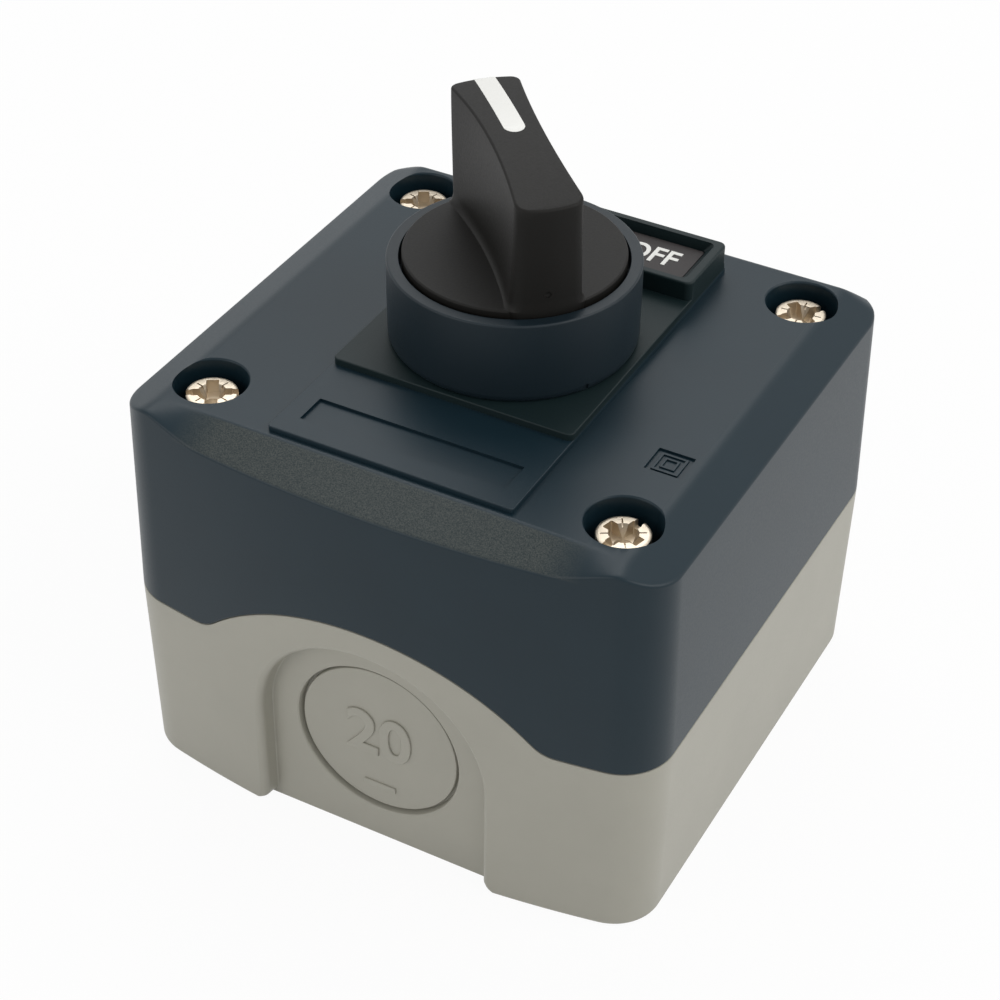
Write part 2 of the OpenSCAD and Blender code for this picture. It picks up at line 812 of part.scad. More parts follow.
module rotor() {
    cam_low = cam_z - cam_rise * cam_r / pusher_x - cut;
    color(carrier_colour) difference() {
        union() {
            rotate_extrude() polygon([
                [0, cam_low], [cam_r, cam_low], [cam_r, flange_z], [flange_r, flange_z],
                [flange_r, flange_top_z], [shaft_r, flange_top_z], [shaft_r, disc_under_z], [0, disc_under_z]
            ]);
            at_rest_turn() translate([-tongue_l / 2, -tongue_w / 2, disc_under_z - cut])
                cube([tongue_l, tongue_w, tongue_h + cut]);
        }
        rotate([0, 0, turn_angle / 2]) for (half = [0, 1]) translate([0, 0, cam_z])
            rotate([half > 0 ? cam_tilt : -cam_tilt, 0, 0])
            translate([half > 0 ? 0 : -box_w, -box_w, -box_h]) cube([box_w, 2 * box_w, box_h]);
        translate([0, 0, seal_z - seal_r - seat_gap]) difference() {
            cylinder(r = chamber_r, h = 2 * (seal_r + seat_gap));
            translate([0, 0, -cut])
                cylinder(r = seal_mid_r - seal_r - run_gap, h = 2 * (seal_r + seat_gap + cut));
        }
        translate([0, 0, cam_low - cut]) cylinder(r = rotor_bore_r, h = flange_top_z - cam_low + cut);
        translate([0, 0, flange_z]) cylinder(r = knob_screw_r + run_gap, h = box_h);
        translate([detent_floor_x, 0, detent_z]) rotate([0, 90, 0])
            cylinder(r = ball_hole_r, h = chamber_r);
    }
}

module knob_screw() {
    color(steel_colour) translate([0, 0, flange_top_z]) {
        cylinder(r = knob_screw_r, h = knob_screw_len);
        translate([0, 0, -knob_screw_head_h]) difference() {
            cylinder(r = knob_screw_head_r, h = knob_screw_head_h);
            translate([-knob_screw_head_r, -clamp_slot_w / 2, -cut])
                cube([2 * knob_screw_head_r, clamp_slot_w, clamp_slot_depth + cut]);
        }
    }
}

module knob_seal() {
    color(rubber_colour) translate([0, 0, seal_z]) rotate_extrude()
        translate([seal_mid_r, 0]) circle(r = seal_r);
}

module detent_ball() {
    color(steel_colour) translate([ball_x, 0, detent_z]) sphere(r = ball_r);
}

// Round-wire coil standing on its first turn's wire
module coil(mean_r, wire_r, length, turns) {
    steps = coil_steps * turns;
    rise = length - 2 * wire_r;
    points = [
        for (i = [0 : steps], j = [0 : wire_sides - 1])
            let (a = 360 * i / coil_steps, b = 360 * j / wire_sides, r = mean_r + wire_r * cos(b))
            [r * cos(a), r * sin(a), wire_r + rise * i / steps + wire_r * sin(b)]
    ];
    sides = [
        for (i = [0 : steps - 1], j = [0 : wire_sides - 1])
            let (p = i * wire_sides + j, q = i * wire_sides + (j + 1) % wire_sides)
            each [[p, q, p + wire_sides], [q, q + wire_sides, p + wire_sides]]
    ];
    last = steps * wire_sides;
    ends = [
        for (j = [1 : wire_sides - 2])
            each [[0, j + 1, j], [last, last + j, last + j + 1]]
    ];
    polyhedron(points = points, faces = concat(sides, ends));
}

module detent_spring() {
    foot_x = detent_floor_x + touch_gap;
    color(steel_colour) translate([foot_x, 0, detent_z]) rotate([0, 90, 0])
        coil(detent_spring_r, detent_wire_r, ball_x - ball_r - foot_x - touch_gap, detent_turns);
}

module contact_carrier() {
    hook_z = carrier_z - hook_drop;
    color(carrier_colour) {
        difference() {
            translate([-carrier_w / 2, -carrier_l / 2, carrier_z])
                cube([carrier_w, carrier_l, carrier_top_z - carrier_z]);
            translate([0, 0, carrier_floor_z]) cylinder(r = neck_r + run_gap, h = box_h);
            for (side = [-1, 1]) translate([side * pusher_x, 0, carrier_z - cut])
                cylinder(r = pusher_r + run_gap, h = box_h);
            for (sx = [-1, 1], sy = [-1, 1])
                translate([sx * pocket_x - pocket_w / 2, sy * pocket_y - pocket_l / 2, carrier_floor_z])
                cube([pocket_w, pocket_l, box_h]);
            translate([0, 0, clamp_screw_z]) rotate([90, 0, 0])
                cylinder(r = clamp_screw_r + run_gap, h = carrier_l);
        }
        for (side = [-1, 1]) translate([side * pusher_x, 0, carrier_floor_z]) difference() {
            cylinder(r = guide_r, h = guide_top_z - carrier_floor_z);
            translate([0, 0, -cut]) cylinder(r = pusher_r + run_gap, h = box_h);
        }
        for (side = [-1, 1]) {
            translate([-arm_w / 2, side > 0 ? arm_y : -arm_y - arm_t, hook_z])
                cube([arm_w, arm_t, hook_drop + cut]);
            translate([-arm_w / 2, side > 0 ? arm_y - hook_reach : -arm_y - cut, hook_z])
                cube([arm_w, hook_reach + cut, hook_h]);
        }
    }
}

module carrier_screw() {
    inner_end = neck_r + seat_gap;
    color(steel_colour) translate([0, -inner_end, clamp_screw_z]) rotate([90, 0, 0]) difference() {
        cylinder(r = clamp_screw_r, h = carrier_l / 2 - inner_end);
        translate([-clamp_screw_r, -clamp_slot_w / 2, carrier_l / 2 - inner_end - clamp_slot_depth])
            cube([2 * clamp_screw_r, clamp_slot_w, clamp_slot_depth + cut]);
    }
}

// Places a piece of one block: side is -1 for the left block and 1 for the right
module at_block(side) {
    translate([side * pusher_x, 0, carrier_z]) mirror([side < 0 ? 1 : 0, 0, 0]) children();
}

module pusher(side) {
    foot_z = carrier_z + stub + touch_gap;
    translate([side * pusher_x, 0, foot_z]) {
        cylinder(r = pusher_r, h = dome_z - foot_z);
        translate([0, 0, dome_z - foot_z]) sphere(r = pusher_r);
    }
}

// Notches at both ends of a block for the carrier's hooks
module hook_notches() {
    reach = hook_reach - arm_gap + hook_notch_gap;
    for (side = [-1, 1])
        translate([-block_w, side > 0 ? block_end - reach : -block_end - cut, -hook_drop - hook_notch_gap])
        cube([2 * block_w, reach + cut, hook_h + 2 * hook_notch_gap]);
}

module at_terminals() {
    for (side = [-1, 1]) translate([0, side * terminal_y, 0]) children();
}

module housing() {
    hollow_x = block_wall - block_side;
    difference() {
        translate([-block_side, -block_end, -block_h]) cube([block_w - cover_t, block_l, block_h]);
        difference() {
            translate([hollow_x, -chamber_end, -pocket_floor])
                cube([block_w, 2 * chamber_end, pocket_floor - block_wall]);
            translate([0, 0, -pocket_floor]) cylinder(r = spigot_r, h = spigot_h);
        }
        for (side = [-1, 1]) {
            translate([hollow_x, side > 0 ? divider_end : -block_end - cut, -block_h - cut])
                cube([block_w, block_end - divider_end + cut, block_h - terminal_top + cut]);
            translate([-strip_w / 2 - seat_gap, side > 0 ? chamber_end - cut : -divider_end - cut,
                    -strip_foot - seat_gap])
                cube([strip_w + 2 * seat_gap, block_wall + 2 * cut, strip_t + 2 * seat_gap]);
        }
        at_terminals() translate([0, 0, -terminal_top - cut])
            cylinder(r = terminal_r + free_gap, h = terminal_len - (clamp_foot - terminal_top) + 2 * cut);
        translate([0, 0, -block_wall - cut]) cylinder(r = stem_r + run_gap, h = block_wall + 2 * cut);
        hook_notches();
    }
}

module cover() {
    difference() {
        union() {
            translate([cover_side, -block_end, -block_h]) cube([cover_t, block_l, block_h]);
            translate([cover_side - rib_t, seat_gap - chamber_end, seat_gap - pocket_floor])
                cube([
                    rib_t + cover_t / 2,
                    2 * (chamber_end - seat_gap),
                    pocket_floor - block_wall - 2 * seat_gap
                ]);
        }
        hook_notches();
    }
}

module plunger() {
    difference() {
        union() {
            translate([-plunger_w / 2, -plunger_l / 2, -plunger_foot])
                cube([plunger_w, plunger_l, plunger_h]);
            translate([0, 0, plunger_h - plunger_foot - cut])
                cylinder(r = stem_r, h = plunger_foot - plunger_h + stub + cut);
            translate([0, 0, -plunger_foot - spigot_h]) cylinder(r = spigot_r, h = spigot_h + cut);
        }
        translate([-bridge_w / 2 - seat_gap, -plunger_l, -bridge_foot - seat_gap])
            cube([bridge_w + 2 * seat_gap, 2 * plunger_l, bridge_t + 2 * seat_gap]);
    }
}

// Moving contact with its tips below it when down is true, else above
module bridge(down) {
    reach = tip_y + bridge_overhang;
    translate([-bridge_w / 2, -reach, -bridge_foot]) cube([bridge_w, 2 * reach, bridge_t]);
    for (side = [-1, 1]) translate([0, side * tip_y, -bridge_foot + (down ? -bridge_tip_t : bridge_t)])
        cylinder(r = tip_r, h = bridge_tip_t);
}

module return_spring() {
    translate([0, 0, touch_gap - pocket_floor])
        coil(spring_r, spring_wire_r, spring_h - 2 * touch_gap, spring_turns);
}

// One fixed contact on the +Y side, flat from tip to terminal when low is true, else stepped up to its tip
module fixed_contact(low) {
    tip_start = tip_y - tip_r;
    leg_end = chamber_end - 2 * seat_gap;
    difference() {
        union() {
            translate([-terminal_pad_w / 2, terminal_y - terminal_pad_l / 2, -strip_foot])
                cube([terminal_pad_w, terminal_pad_l, strip_t]);
            translate([-strip_w / 2, low ? tip_start : leg_end - strip_t, -strip_foot])
                cube([strip_w, terminal_y - (low ? tip_start : leg_end - strip_t), strip_t]);
            if (low) {
                translate([0, tip_y, strip_t - strip_foot]) cylinder(r = tip_r, h = tip_t);
            } else {
                translate([-strip_w / 2, leg_end - strip_t, -strip_foot])
                    cube([strip_w, strip_t, strip_foot - nc_strip_foot + strip_t]);
                translate([-strip_w / 2, tip_start, -nc_strip_foot])
                    cube([strip_w, leg_end - tip_start, strip_t]);
                translate([0, tip_y, -nc_strip_foot - tip_t]) cylinder(r = tip_r, h = tip_t);
            }
        }
        translate([0, terminal_y, -strip_foot - cut])
            cylinder(r = terminal_r + run_gap, h = strip_t + 2 * cut);
    }
}

module fixed_contacts(low) {
    fixed_contact(low);
    mirror([0, 1, 0]) fixed_contact(low);
}

module wire_clamps() {
    at_terminals() difference() {
        translate([-clamp_w / 2, -clamp_w / 2, -clamp_foot]) cube([clamp_w, clamp_w, clamp_t]);
        translate([0, 0, -clamp_foot - cut]) cylinder(r = terminal_r + seat_gap, h = clamp_t + 2 * cut);
    }
}

module terminal_screws() {
    at_terminals() translate([0, 0, -clamp_foot]) {
        cylinder(r = terminal_r, h = terminal_len);
        translate([0, 0, -terminal_head_h]) difference() {
            cylinder(r = terminal_head_r, h = terminal_head_h);
            for (turn = [0, 90]) rotate([0, 0, turn]) translate([-terminal_r, -terminal_slot_w / 2, -cut])
                cube([terminal_d, terminal_slot_w, terminal_slot_depth + cut]);
        }
    }
}

enclosure_base();
enclosure_lid();
lid_gasket();
threaded_inserts();
lid_screws();
screw_seals();
legend_holder();
legend_insert();
head_bezel();
head_gasket();
lock_washer();
fixing_nut();
knob();
pointer_inlay();
rotor();
knob_screw();
knob_seal();
detent_ball();
detent_spring();
contact_carrier();
carrier_screw();
color(no_colour) pusher(-1);  // no_pusher
color(nc_colour) pusher(1);  // nc_pusher
color(housing_colour) at_block(-1) housing();  // no_housing
color(no_colour) at_block(-1) cover();  // no_cover
color(no_colour) at_block(-1) plunger();  // no_plunger
color(brass_colour) at_block(-1) bridge(true);  // no_bridge
color(steel_colour) at_block(-1) return_spring();  // no_return_spring
color(brass_colour) at_block(-1) fixed_contacts(true);  // no_fixed_contacts
color(steel_colour) at_block(-1) wire_clamps();  // no_wire_clamps
color(steel_colour) at_block(-1) terminal_screws();  // no_terminal_screws
color(housing_colour) at_block(1) housing();  // nc_housing
color(nc_colour) at_block(1) cover();  // nc_cover
color(nc_colour) at_block(1) plunger();  // nc_plunger
color(brass_colour) at_block(1) bridge(false);  // nc_bridge
color(steel_colour) at_block(1) return_spring();  // nc_return_spring
color(brass_colour) at_block(1) fixed_contacts(false);  // nc_fixed_contacts
color(steel_colour) at_block(1) wire_clamps();  // nc_wire_clamps
color(steel_colour) at_block(1) terminal_screws();  // nc_terminal_screws
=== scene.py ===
import json
import math

import bmesh
import bpy
from mathutils import Matrix, Vector


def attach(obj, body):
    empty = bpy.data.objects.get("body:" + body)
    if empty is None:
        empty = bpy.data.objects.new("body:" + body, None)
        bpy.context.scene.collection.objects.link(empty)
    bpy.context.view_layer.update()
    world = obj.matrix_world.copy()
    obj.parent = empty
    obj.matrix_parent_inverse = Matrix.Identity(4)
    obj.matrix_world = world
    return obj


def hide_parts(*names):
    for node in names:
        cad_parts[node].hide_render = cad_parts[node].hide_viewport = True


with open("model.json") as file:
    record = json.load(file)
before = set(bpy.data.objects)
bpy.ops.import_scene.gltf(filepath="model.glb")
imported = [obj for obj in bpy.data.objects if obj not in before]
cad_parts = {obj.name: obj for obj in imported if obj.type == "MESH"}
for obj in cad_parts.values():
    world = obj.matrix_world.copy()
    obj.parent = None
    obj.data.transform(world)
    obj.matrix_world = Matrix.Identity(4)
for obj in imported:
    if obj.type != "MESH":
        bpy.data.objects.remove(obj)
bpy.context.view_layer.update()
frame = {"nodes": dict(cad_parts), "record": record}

MM = 0.001
TAU = 2 * math.pi
FIXED = "enclosure_body"
TURNING = "knob_body"

# Sizes in millimetres, with Z up from the wall face and -Y the end that the photograph shows
HALF_W, HALF_L = 34.0, 34.5                     # the box at its widest
BOW, CORNER_R = 3.4, 6.3                        # bow of an end, radius of a corner in plan
LID_TOP, LID_UNDER, PARTING = 51.3, 48.7, 24.2
FLOOR_T, WALL_T, INNER_END = 2.5, 2.5, 29.8
LEAN = 0.5                                      # draft of the lid and of the base, over their whole height
LIP, JOINT_GAP, JOINT_SINK = 0.18, 0.05, 0.03   # rounding and clearance of the joint between them
ARCH_HALF, ARCH_RISE, ARCH_BLEND = 21.6, 9.1, 4.0
SIDE_CREASE, END_CREASE = 28.7, 28.7            # where the lid's flat top turns down
SIDE_SOFT, END_SOFT = 0.7, 0.35                 # half the width that each crease is spread over
SIDE_SLOPE, BACK_SLOPE, FRONT_DROP = 2.2 / 5.3, 0.72, 2.2
FACET_EASE = 18.9, 29.2                         # the front facet dies out between these distances from X 0
RECESS_R, RECESS_Z, RECESS_Y = 14.5, 15.1, 31.6
RECESS_SHIFT = 0.2
ENTRY_Z, ENTRY_SUNK = 14.9, 0.4
FIXING_R, FIXING_Y = 2.15, 24
SCREW_X, SCREW_Y, SCREW_SHIFT = 25.5, 23.5, 0.2
SCREW_TURNS = 31, 30, 75, 50
PLATE_HALF, PLATE_BACK, PLATE_FRONT, PAD_FRONT = 15, 25.3, -14.7, -28
PLATE_Z, PLATE_TOP, FRAME_FRONT, FRAME_TOP = 51.94, 52.8, 15, 55.2
SIGN_X, SIGN_Y = 25.4, -12.1
HOLE_R, KEY_HALF, KEY_END = 11.2, 1.7, 12.6
BEZEL_R, BEZEL_BORE, BEZEL_TOP, BEZEL_FLOOR, NECK_END = 14.3, 12.87, 62.85, 60.35, 38.6
DISC_R, DISC_TOP, DISC_UNDER = 12.55, 63.6, 60.65
LEVER_R, LEVER_FOOT_R, LEVER_END, LEVER_EDGE, LEVER_FILLET = 13.05, 12.8, 11.5, 0.34, 1.3
LEVER_CROWN, CROWN_X, CROWN_R = 78.16, 7.4, 103.0
REST_TURN = 135.4                               # degrees from +X to the pointer, as photographed

BOW_R = (HALF_W ** 2 + BOW ** 2) / (2 * BOW)
CORNER_X = HALF_W - CORNER_R
CORNER_Y = math.sqrt((BOW_R - CORNER_R) ** 2 - CORNER_X ** 2) - (BOW_R - HALF_L)
BOW_ANGLE = math.asin(CORNER_X / (BOW_R - CORNER_R))
ARCH_R = (ARCH_HALF ** 2 + ARCH_RISE ** 2) / (2 * ARCH_RISE)
ARCH_Z = PARTING + ARCH_RISE - ARCH_R
BLEND_X = math.sqrt((ARCH_R + ARCH_BLEND) ** 2 - (PARTING + ARCH_BLEND - ARCH_Z) ** 2)
BLEND_FROM = BLEND_X * ARCH_R / (ARCH_R + ARCH_BLEND)


# ---------------------------------------------------------------- mesh tools
def clean(mesh, merge):
    """Merges points closer than merge metres and turns all faces outwards."""
    bm = bmesh.new()
    bm.from_mesh(mesh)
    bmesh.ops.remove_doubles(bm, verts=bm.verts, dist=merge)
    bmesh.ops.recalc_face_normals(bm, faces=bm.faces)
    bm.to_mesh(mesh)
    bm.free()


def linked(name, data):
    obj = bpy.data.objects.new(name, data)
    bpy.context.scene.collection.objects.link(obj)
    return obj


def new_object(name, verts, faces):
    mesh = bpy.data.meshes.new(name)
    mesh.from_pydata([tuple(c * MM for c in v) for v in verts], [], faces)
    clean(mesh, 1e-6)
    return linked(name, mesh)


def evaluated(obj):
    graph = bpy.context.evaluated_depsgraph_get()
    return bpy.data.meshes.new_from_object(obj.evaluated_get(graph))


def bake(obj):
    mesh = evaluated(obj)
    obj.modifiers.clear()
    obj.data = mesh
    return obj


def combine(obj, other, operation="DIFFERENCE"):
    mod = obj.modifiers.new("combine", "BOOLEAN")
    mod.operation = operation
    mod.solver = "MANIFOLD"
    mod.object = other
    bake(obj)
    bpy.data.objects.remove(other)
    return obj


def join(name, parts):
    bm = bmesh.new()
    for part in parts:
        bm.from_mesh(part.data)
        bpy.data.objects.remove(part)
    mesh = bpy.data.meshes.new(name)
    bm.to_mesh(mesh)
    bm.free()
    return linked(name, mesh)


def moved(obj, matrix):
    obj.data.transform(matrix)
    if matrix.determinant() < 0:
        obj.data.flip_normals()
    return obj


def place(x, y, z, turn=0.0):
    return Matrix.Translation((x * MM, y * MM, z * MM)) @ Matrix.Rotation(math.radians(turn), 4, "Z")


def at_both_ends(make):
    return [moved(make(), place(0, 0, 0, turn)) for turn in (0, 180)]


def shade(obj, degrees=32):
    """Smooth shading with every edge sharper than the given angle kept sharp."""
    bm = bmesh.new()
    bm.from_mesh(obj.data)
    bmesh.ops.remove_doubles(bm, verts=bm.verts, dist=5e-7)
    bmesh.ops.dissolve_degenerate(bm, edges=bm.edges, dist=5e-7)
    limit = math.radians(degrees)
    for face in bm.faces:
        face.smooth = True
    for edge in bm.edges:
        edge.smooth = len(edge.link_faces) == 2 and edge.calc_face_angle(0.0) < limit
    bm.to_mesh(obj.data)
    bm.free()
    mod = obj.modifiers.new("normals", "WEIGHTED_NORMAL")
    mod.keep_sharp = True
    mod.weight = 60
    return bake(obj)


def face_of(start, corners):
    """A face on the points numbered after start, each taken once."""
    return tuple(start + v for v in dict.fromkeys(corners))


def across(count):
    """Cap for a loop of count points, in faces that run from its one long side to the other."""
    def cap(start):
        return [face_of(start, (i, i + 1, (count - i - 1) % count, (count - i) % count))
                for i in range(count // 2)]
    return cap


def loft(name, loops, cap=None):
    """Skin over closed loops of equal length; cap gives the faces of an end from its first point's number."""
    n = len(loops[0])
    verts = [p for loop in loops for p in loop]
    faces = []
    for k in range(len(loops) - 1):
        a, b = k * n, (k + 1) * n
        faces += [(a + i, a + (i + 1) % n, b + (i + 1) % n, b + i) for i in range(n)]
    last = (len(loops) - 1) * n
    if cap is None:
        faces += [tuple(range(n - 1, -1, -1)), tuple(range(last, last + n))]
    else:
        faces += [tuple(reversed(f)) for f in cap(0)] + cap(last)
    return new_object(name, verts, faces)


def lathe(name, profile, steps=96, ring=False):
    """Turns (r, z) points about Z; a ring's profile is closed on itself."""
    verts, faces = [], []
    m = len(profile)
    for i in range(steps):
        c, s = math.cos(TAU * i / steps), math.sin(TAU * i / steps)
        verts += [(r * c, r * s, z) for r, z in profile]
    for i in range(steps):
        a, b = i * m, (i + 1) % steps * m
        for j in range(m if ring else m - 1):
            k = (j + 1) % m
            faces.append((a + j, b + j, b + k, a + k))
    return new_object(name, verts, faces)


def rod(name, r, z0, z1, steps):
    return lathe(name, [(0, z0), (r, z0), (r, z1), (0, z1)], steps)


def arc(cx, cz, r, start, end, steps=5):
    return [(cx + r * math.cos(math.radians(start + (end - start) * i / steps)),
             cz + r * math.sin(math.radians(start + (end - start) * i / steps))) for i in range(steps + 1)]


def rounded_rect(x0, x1, y0, y1, r, grow=0.0):
    r = max(r + grow, 0.02)
    x0, x1, y0, y1 = x0 - grow, x1 + grow, y0 - grow, y1 + grow
    points = []
    centres = ((x1 - r, y1 - r), (x0 + r, y1 - r), (x0 + r, y0 + r), (x1 - r, y0 + r))
    for (cx, cy), start in zip(centres, (0, 90, 180, 270)):
        points += arc(cx, cy, r, start, start + 90, 6)
    return points


def slab(name, x0, x1, y0, y1, z0, z1, plan_r, edge_r):
    """Plate with rounded corners and a rounded upper edge."""
    loops = [[(x, y, z0) for x, y in rounded_rect(x0, x1, y0, y1, plan_r)]]
    for k in range(4):
        a = math.radians(30 * k)
        grow = -edge_r * (1 - math.cos(a))
        z = z1 - edge_r + edge_r * math.sin(a)
        loops.append([(x, y, z) for x, y in rounded_rect(x0, x1, y0, y1, plan_r, grow)])
    return loft(name, loops)


def square(name, x, y, half_x, half_y, z0, z1, plan_r, edge_r):
    return slab(name, x - half_x, x + half_x, y - half_y, y + half_y, z0, z1, plan_r, edge_r)


def words(text, size, depth, bold=0.0, bevel=0.0):
    """Raised lettering in the XY plane, centred on its place."""
    curve = bpy.data.curves.new("words", "FONT")
    curve.body = text
    curve.size = size * MM
    curve.extrude = depth / 2 * MM
    curve.offset = bold * MM
    curve.bevel_depth = bevel * MM
    curve.align_x = "CENTER"
    curve.align_y = "CENTER"
    curve.resolution_u = 6
    obj = linked("words", curve)
    mesh = evaluated(obj)
    bpy.data.objects.remove(obj)
    clean(mesh, 1e-7)
    return linked("words", mesh)


# ---------------------------------------------------------------- materials
ROUGH_SPREAD = 0.08
MOTTLE = 9.0


def node(tree, kind, **values):
    made = tree.nodes.new(kind)
    for key, value in values.items():
        if key in made.inputs:
            made.inputs[key].default_value = value
        else:
            setattr(made, key, value)
    return made


def two_tones(tree, low, dark, high, light):
    ramp = node(tree, "ShaderNodeValToRGB")
    for stop, position, colour in zip(ramp.color_ramp.elements, (low, high), (dark, light)):
        stop.position = position
        stop.color = (*colour, 1)
    return ramp


def material(name, colour, roughness, metallic=0.0, grain=0.35, bump=0.02, variation=0.06, specular=0.5):
    """Moulded or metal surface: fine grain as bump and roughness, slow drift of colour."""
    mat = bpy.data.materials.new(name)
    mat.use_nodes = True
    tree = mat.node_tree
    tree.nodes.clear()
    out = node(tree, "ShaderNodeOutputMaterial")
    shader = node(tree, "ShaderNodeBsdfPrincipled")
    shader.inputs["Metallic"].default_value = metallic
    shader.inputs["Specular IOR Level"].default_value = specular
    where = node(tree, "ShaderNodeTexCoord")
    fine = node(tree, "ShaderNodeTexNoise", Scale=1 / (grain * MM), Detail=3.0, Roughness=0.6)
    slow = node(tree, "ShaderNodeTexNoise", Scale=1 / (MOTTLE * MM), Detail=4.0, Roughness=0.55)
    for tex in (fine, slow):
        tree.links.new(where.outputs["Object"], tex.inputs["Vector"])
    dark = [c * (1 - variation) for c in colour]
    light = [min(1.0, c * (1 + variation)) for c in colour]
    tone = two_tones(tree, 0.3, dark, 0.7, light)
    tree.links.new(slow.outputs["Fac"], tone.inputs["Fac"])
    tree.links.new(tone.outputs["Color"], shader.inputs["Base Color"])
    spread = node(tree, "ShaderNodeMapRange")
    spread.inputs["To Min"].default_value = max(0.03, roughness - ROUGH_SPREAD)
    spread.inputs["To Max"].default_value = min(1.0, roughness + ROUGH_SPREAD)
    tree.links.new(fine.outputs["Fac"], spread.inputs["Value"])
    tree.links.new(spread.outputs["Result"], shader.inputs["Roughness"])
    lift = node(tree, "ShaderNodeBump", Strength=1.0, Distance=bump * MM)
    tree.links.new(fine.outputs["Fac"], lift.inputs["Height"])
    tree.links.new(lift.outputs["Normal"], shader.inputs["Normal"])
    tree.links.new(shader.outputs["BSDF"], out.inputs["Surface"])
    return mat


def srgb(r, g, b):
    return [((c / 255 + 0.055) / 1.055) ** 2.4 if c > 10 else c / 255 / 12.92 for c in (r, g, b)]


LOOKS = {name: material(name, srgb(*tone), roughness, **more) for name, tone, roughness, more in (
    ("slate_plastic", (18, 37, 46), 0.38, dict(bump=0.006, grain=0.25, variation=0.05, specular=0.26)),
    ("grey_plastic", (163, 161, 150), 0.46, dict(bump=0.006, grain=0.3, variation=0.025)),
    ("bezel_plastic", (22, 34, 41), 0.42, dict(bump=0.008, grain=0.25, specular=0.27)),
    ("legend_plastic", (20, 34, 36), 0.47, dict(bump=0.008, grain=0.25, specular=0.2)),
    ("legend_card", (42, 38, 38), 0.5, dict(bump=0.004, grain=0.2, specular=0.3)),
    ("knob_plastic", (17, 16, 14), 0.52, dict(bump=0.012, grain=0.3, variation=0.1, specular=0.19)),
    ("pointer_plastic", (236, 236, 232), 0.35, dict(bump=0.003, variation=0.02)),
    ("screw_steel", (208, 196, 178), 0.4, dict(metallic=1.0, bump=0.012, grain=0.4, variation=0.1)),
    ("zinc_steel", (196, 198, 202), 0.34, dict(metallic=1.0, bump=0.006, variation=0.08)),
    ("insert_brass", (212, 178, 104), 0.3, dict(metallic=1.0, bump=0.006, variation=0.08)),
    ("contact_brass", (214, 176, 112), 0.28, dict(metallic=1.0, bump=0.004, variation=0.08)),
    ("sealing_rubber", (32, 32, 33), 0.75, dict(bump=0.02, grain=0.4, variation=0.12)),
    ("inner_plastic", (52, 55, 60), 0.5, dict(bump=0.012, grain=0.35)),
    ("block_plastic", (222, 221, 214), 0.45, dict(bump=0.006, variation=0.03)),
    ("green_plastic", (62, 134, 84), 0.4, dict(bump=0.006, variation=0.05)),
    ("red_plastic", (172, 46, 40), 0.4, dict(bump=0.006, variation=0.05)),
)}


def grain_and_painted_light_on_end_facets(mat):
    """Speckled grain on the lid's two end facets in a paler tone: the grain is the surface's own, the paler tone
    is painted light on the sloping facets.
    """
    tree = mat.node_tree
    shader = tree.nodes["Principled BSDF"]
    where = tree.nodes["Texture Coordinate"]
    axes = node(tree, "ShaderNodeSeparateXYZ")
    tree.links.new(where.outputs["Object"], axes.inputs["Vector"])
    mask = None
    for axis, low, high, start in (("X", 20.0, 25.0, 1.0), ("Y", 28.75, 28.95, 0.0), ("Z", 49.0, 49.2, 0.0)):
        size = node(tree, "ShaderNodeMath", operation="ABSOLUTE")
        tree.links.new(axes.outputs[axis], size.inputs[0])
        ramp = node(tree, "ShaderNodeMapRange")
        limits = low * MM, high * MM, start, 1 - start
        for key, value in zip(("From Min", "From Max", "To Min", "To Max"), limits):
            ramp.inputs[key].default_value = value
        tree.links.new(size.outputs[0], ramp.inputs["Value"])
        part = ramp.outputs["Result"]
        if mask:
            both = node(tree, "ShaderNodeMath", operation="MULTIPLY")
            tree.links.new(mask, both.inputs[0])
            tree.links.new(part, both.inputs[1])
            part = both.outputs[0]
        mask = part
    speck = node(tree, "ShaderNodeTexNoise", Scale=1 / (0.16 * MM), Detail=2.0, Roughness=0.7)
    tree.links.new(where.outputs["Object"], speck.inputs["Vector"])
    # painted light: the pale end of this speckle ramp lightens the end facets, as the light falling on them
    # would
    tone = two_tones(tree, 0.35, srgb(34, 44, 47), 0.68, srgb(74, 79, 77))
    tree.links.new(speck.outputs["Fac"], tone.inputs["Fac"])
    mix = node(tree, "ShaderNodeMix", data_type="RGBA")
    plain = shader.inputs["Base Color"].links[0].from_socket
    tree.links.new(mask, mix.inputs[0])
    colour_a, colour_b = [i for i in mix.inputs if i.type == "RGBA"]
    tree.links.new(plain, colour_a)
    tree.links.new(tone.outputs["Color"], colour_b)
    tree.links.new([o for o in mix.outputs if o.type == "RGBA"][0], shader.inputs["Base Color"])


grain_and_painted_light_on_end_facets(LOOKS["slate_plastic"])


def dress(piece, body, look, replaced=()):
    piece.data.materials.clear()
    piece.data.materials.append(LOOKS[look])
    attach(piece, body)
    if replaced:
        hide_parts(*replaced)
    return piece


# ---------------------------------------------------------------- outline of the enclosure
BOW_STEPS, CORNER_STEPS, SIDE_STEPS = 44, 14, 8
QUARTER = BOW_STEPS + CORNER_STEPS + SIDE_STEPS
COUNT = 4 * QUARTER


def quarter(inset):
    """The outline from the middle of the +Y end to the middle of the +X side."""
    points = []
    for i in range(BOW_STEPS + 1):
        a = BOW_ANGLE * i / BOW_STEPS
        points.append(((BOW_R - inset) * math.sin(a), HALF_L - BOW_R + (BOW_R - inset) * math.cos(a)))
    for i in range(1, CORNER_STEPS + 1):
        a = BOW_ANGLE + (math.pi / 2 - BOW_ANGLE) * i / CORNER_STEPS
        r = CORNER_R - inset
        points.append((CORNER_X + r * math.sin(a), CORNER_Y + r * math.cos(a)))
    for i in range(1, SIDE_STEPS + 1):
        points.append((HALF_W - inset, CORNER_Y * (1 - i / SIDE_STEPS)))
    return points


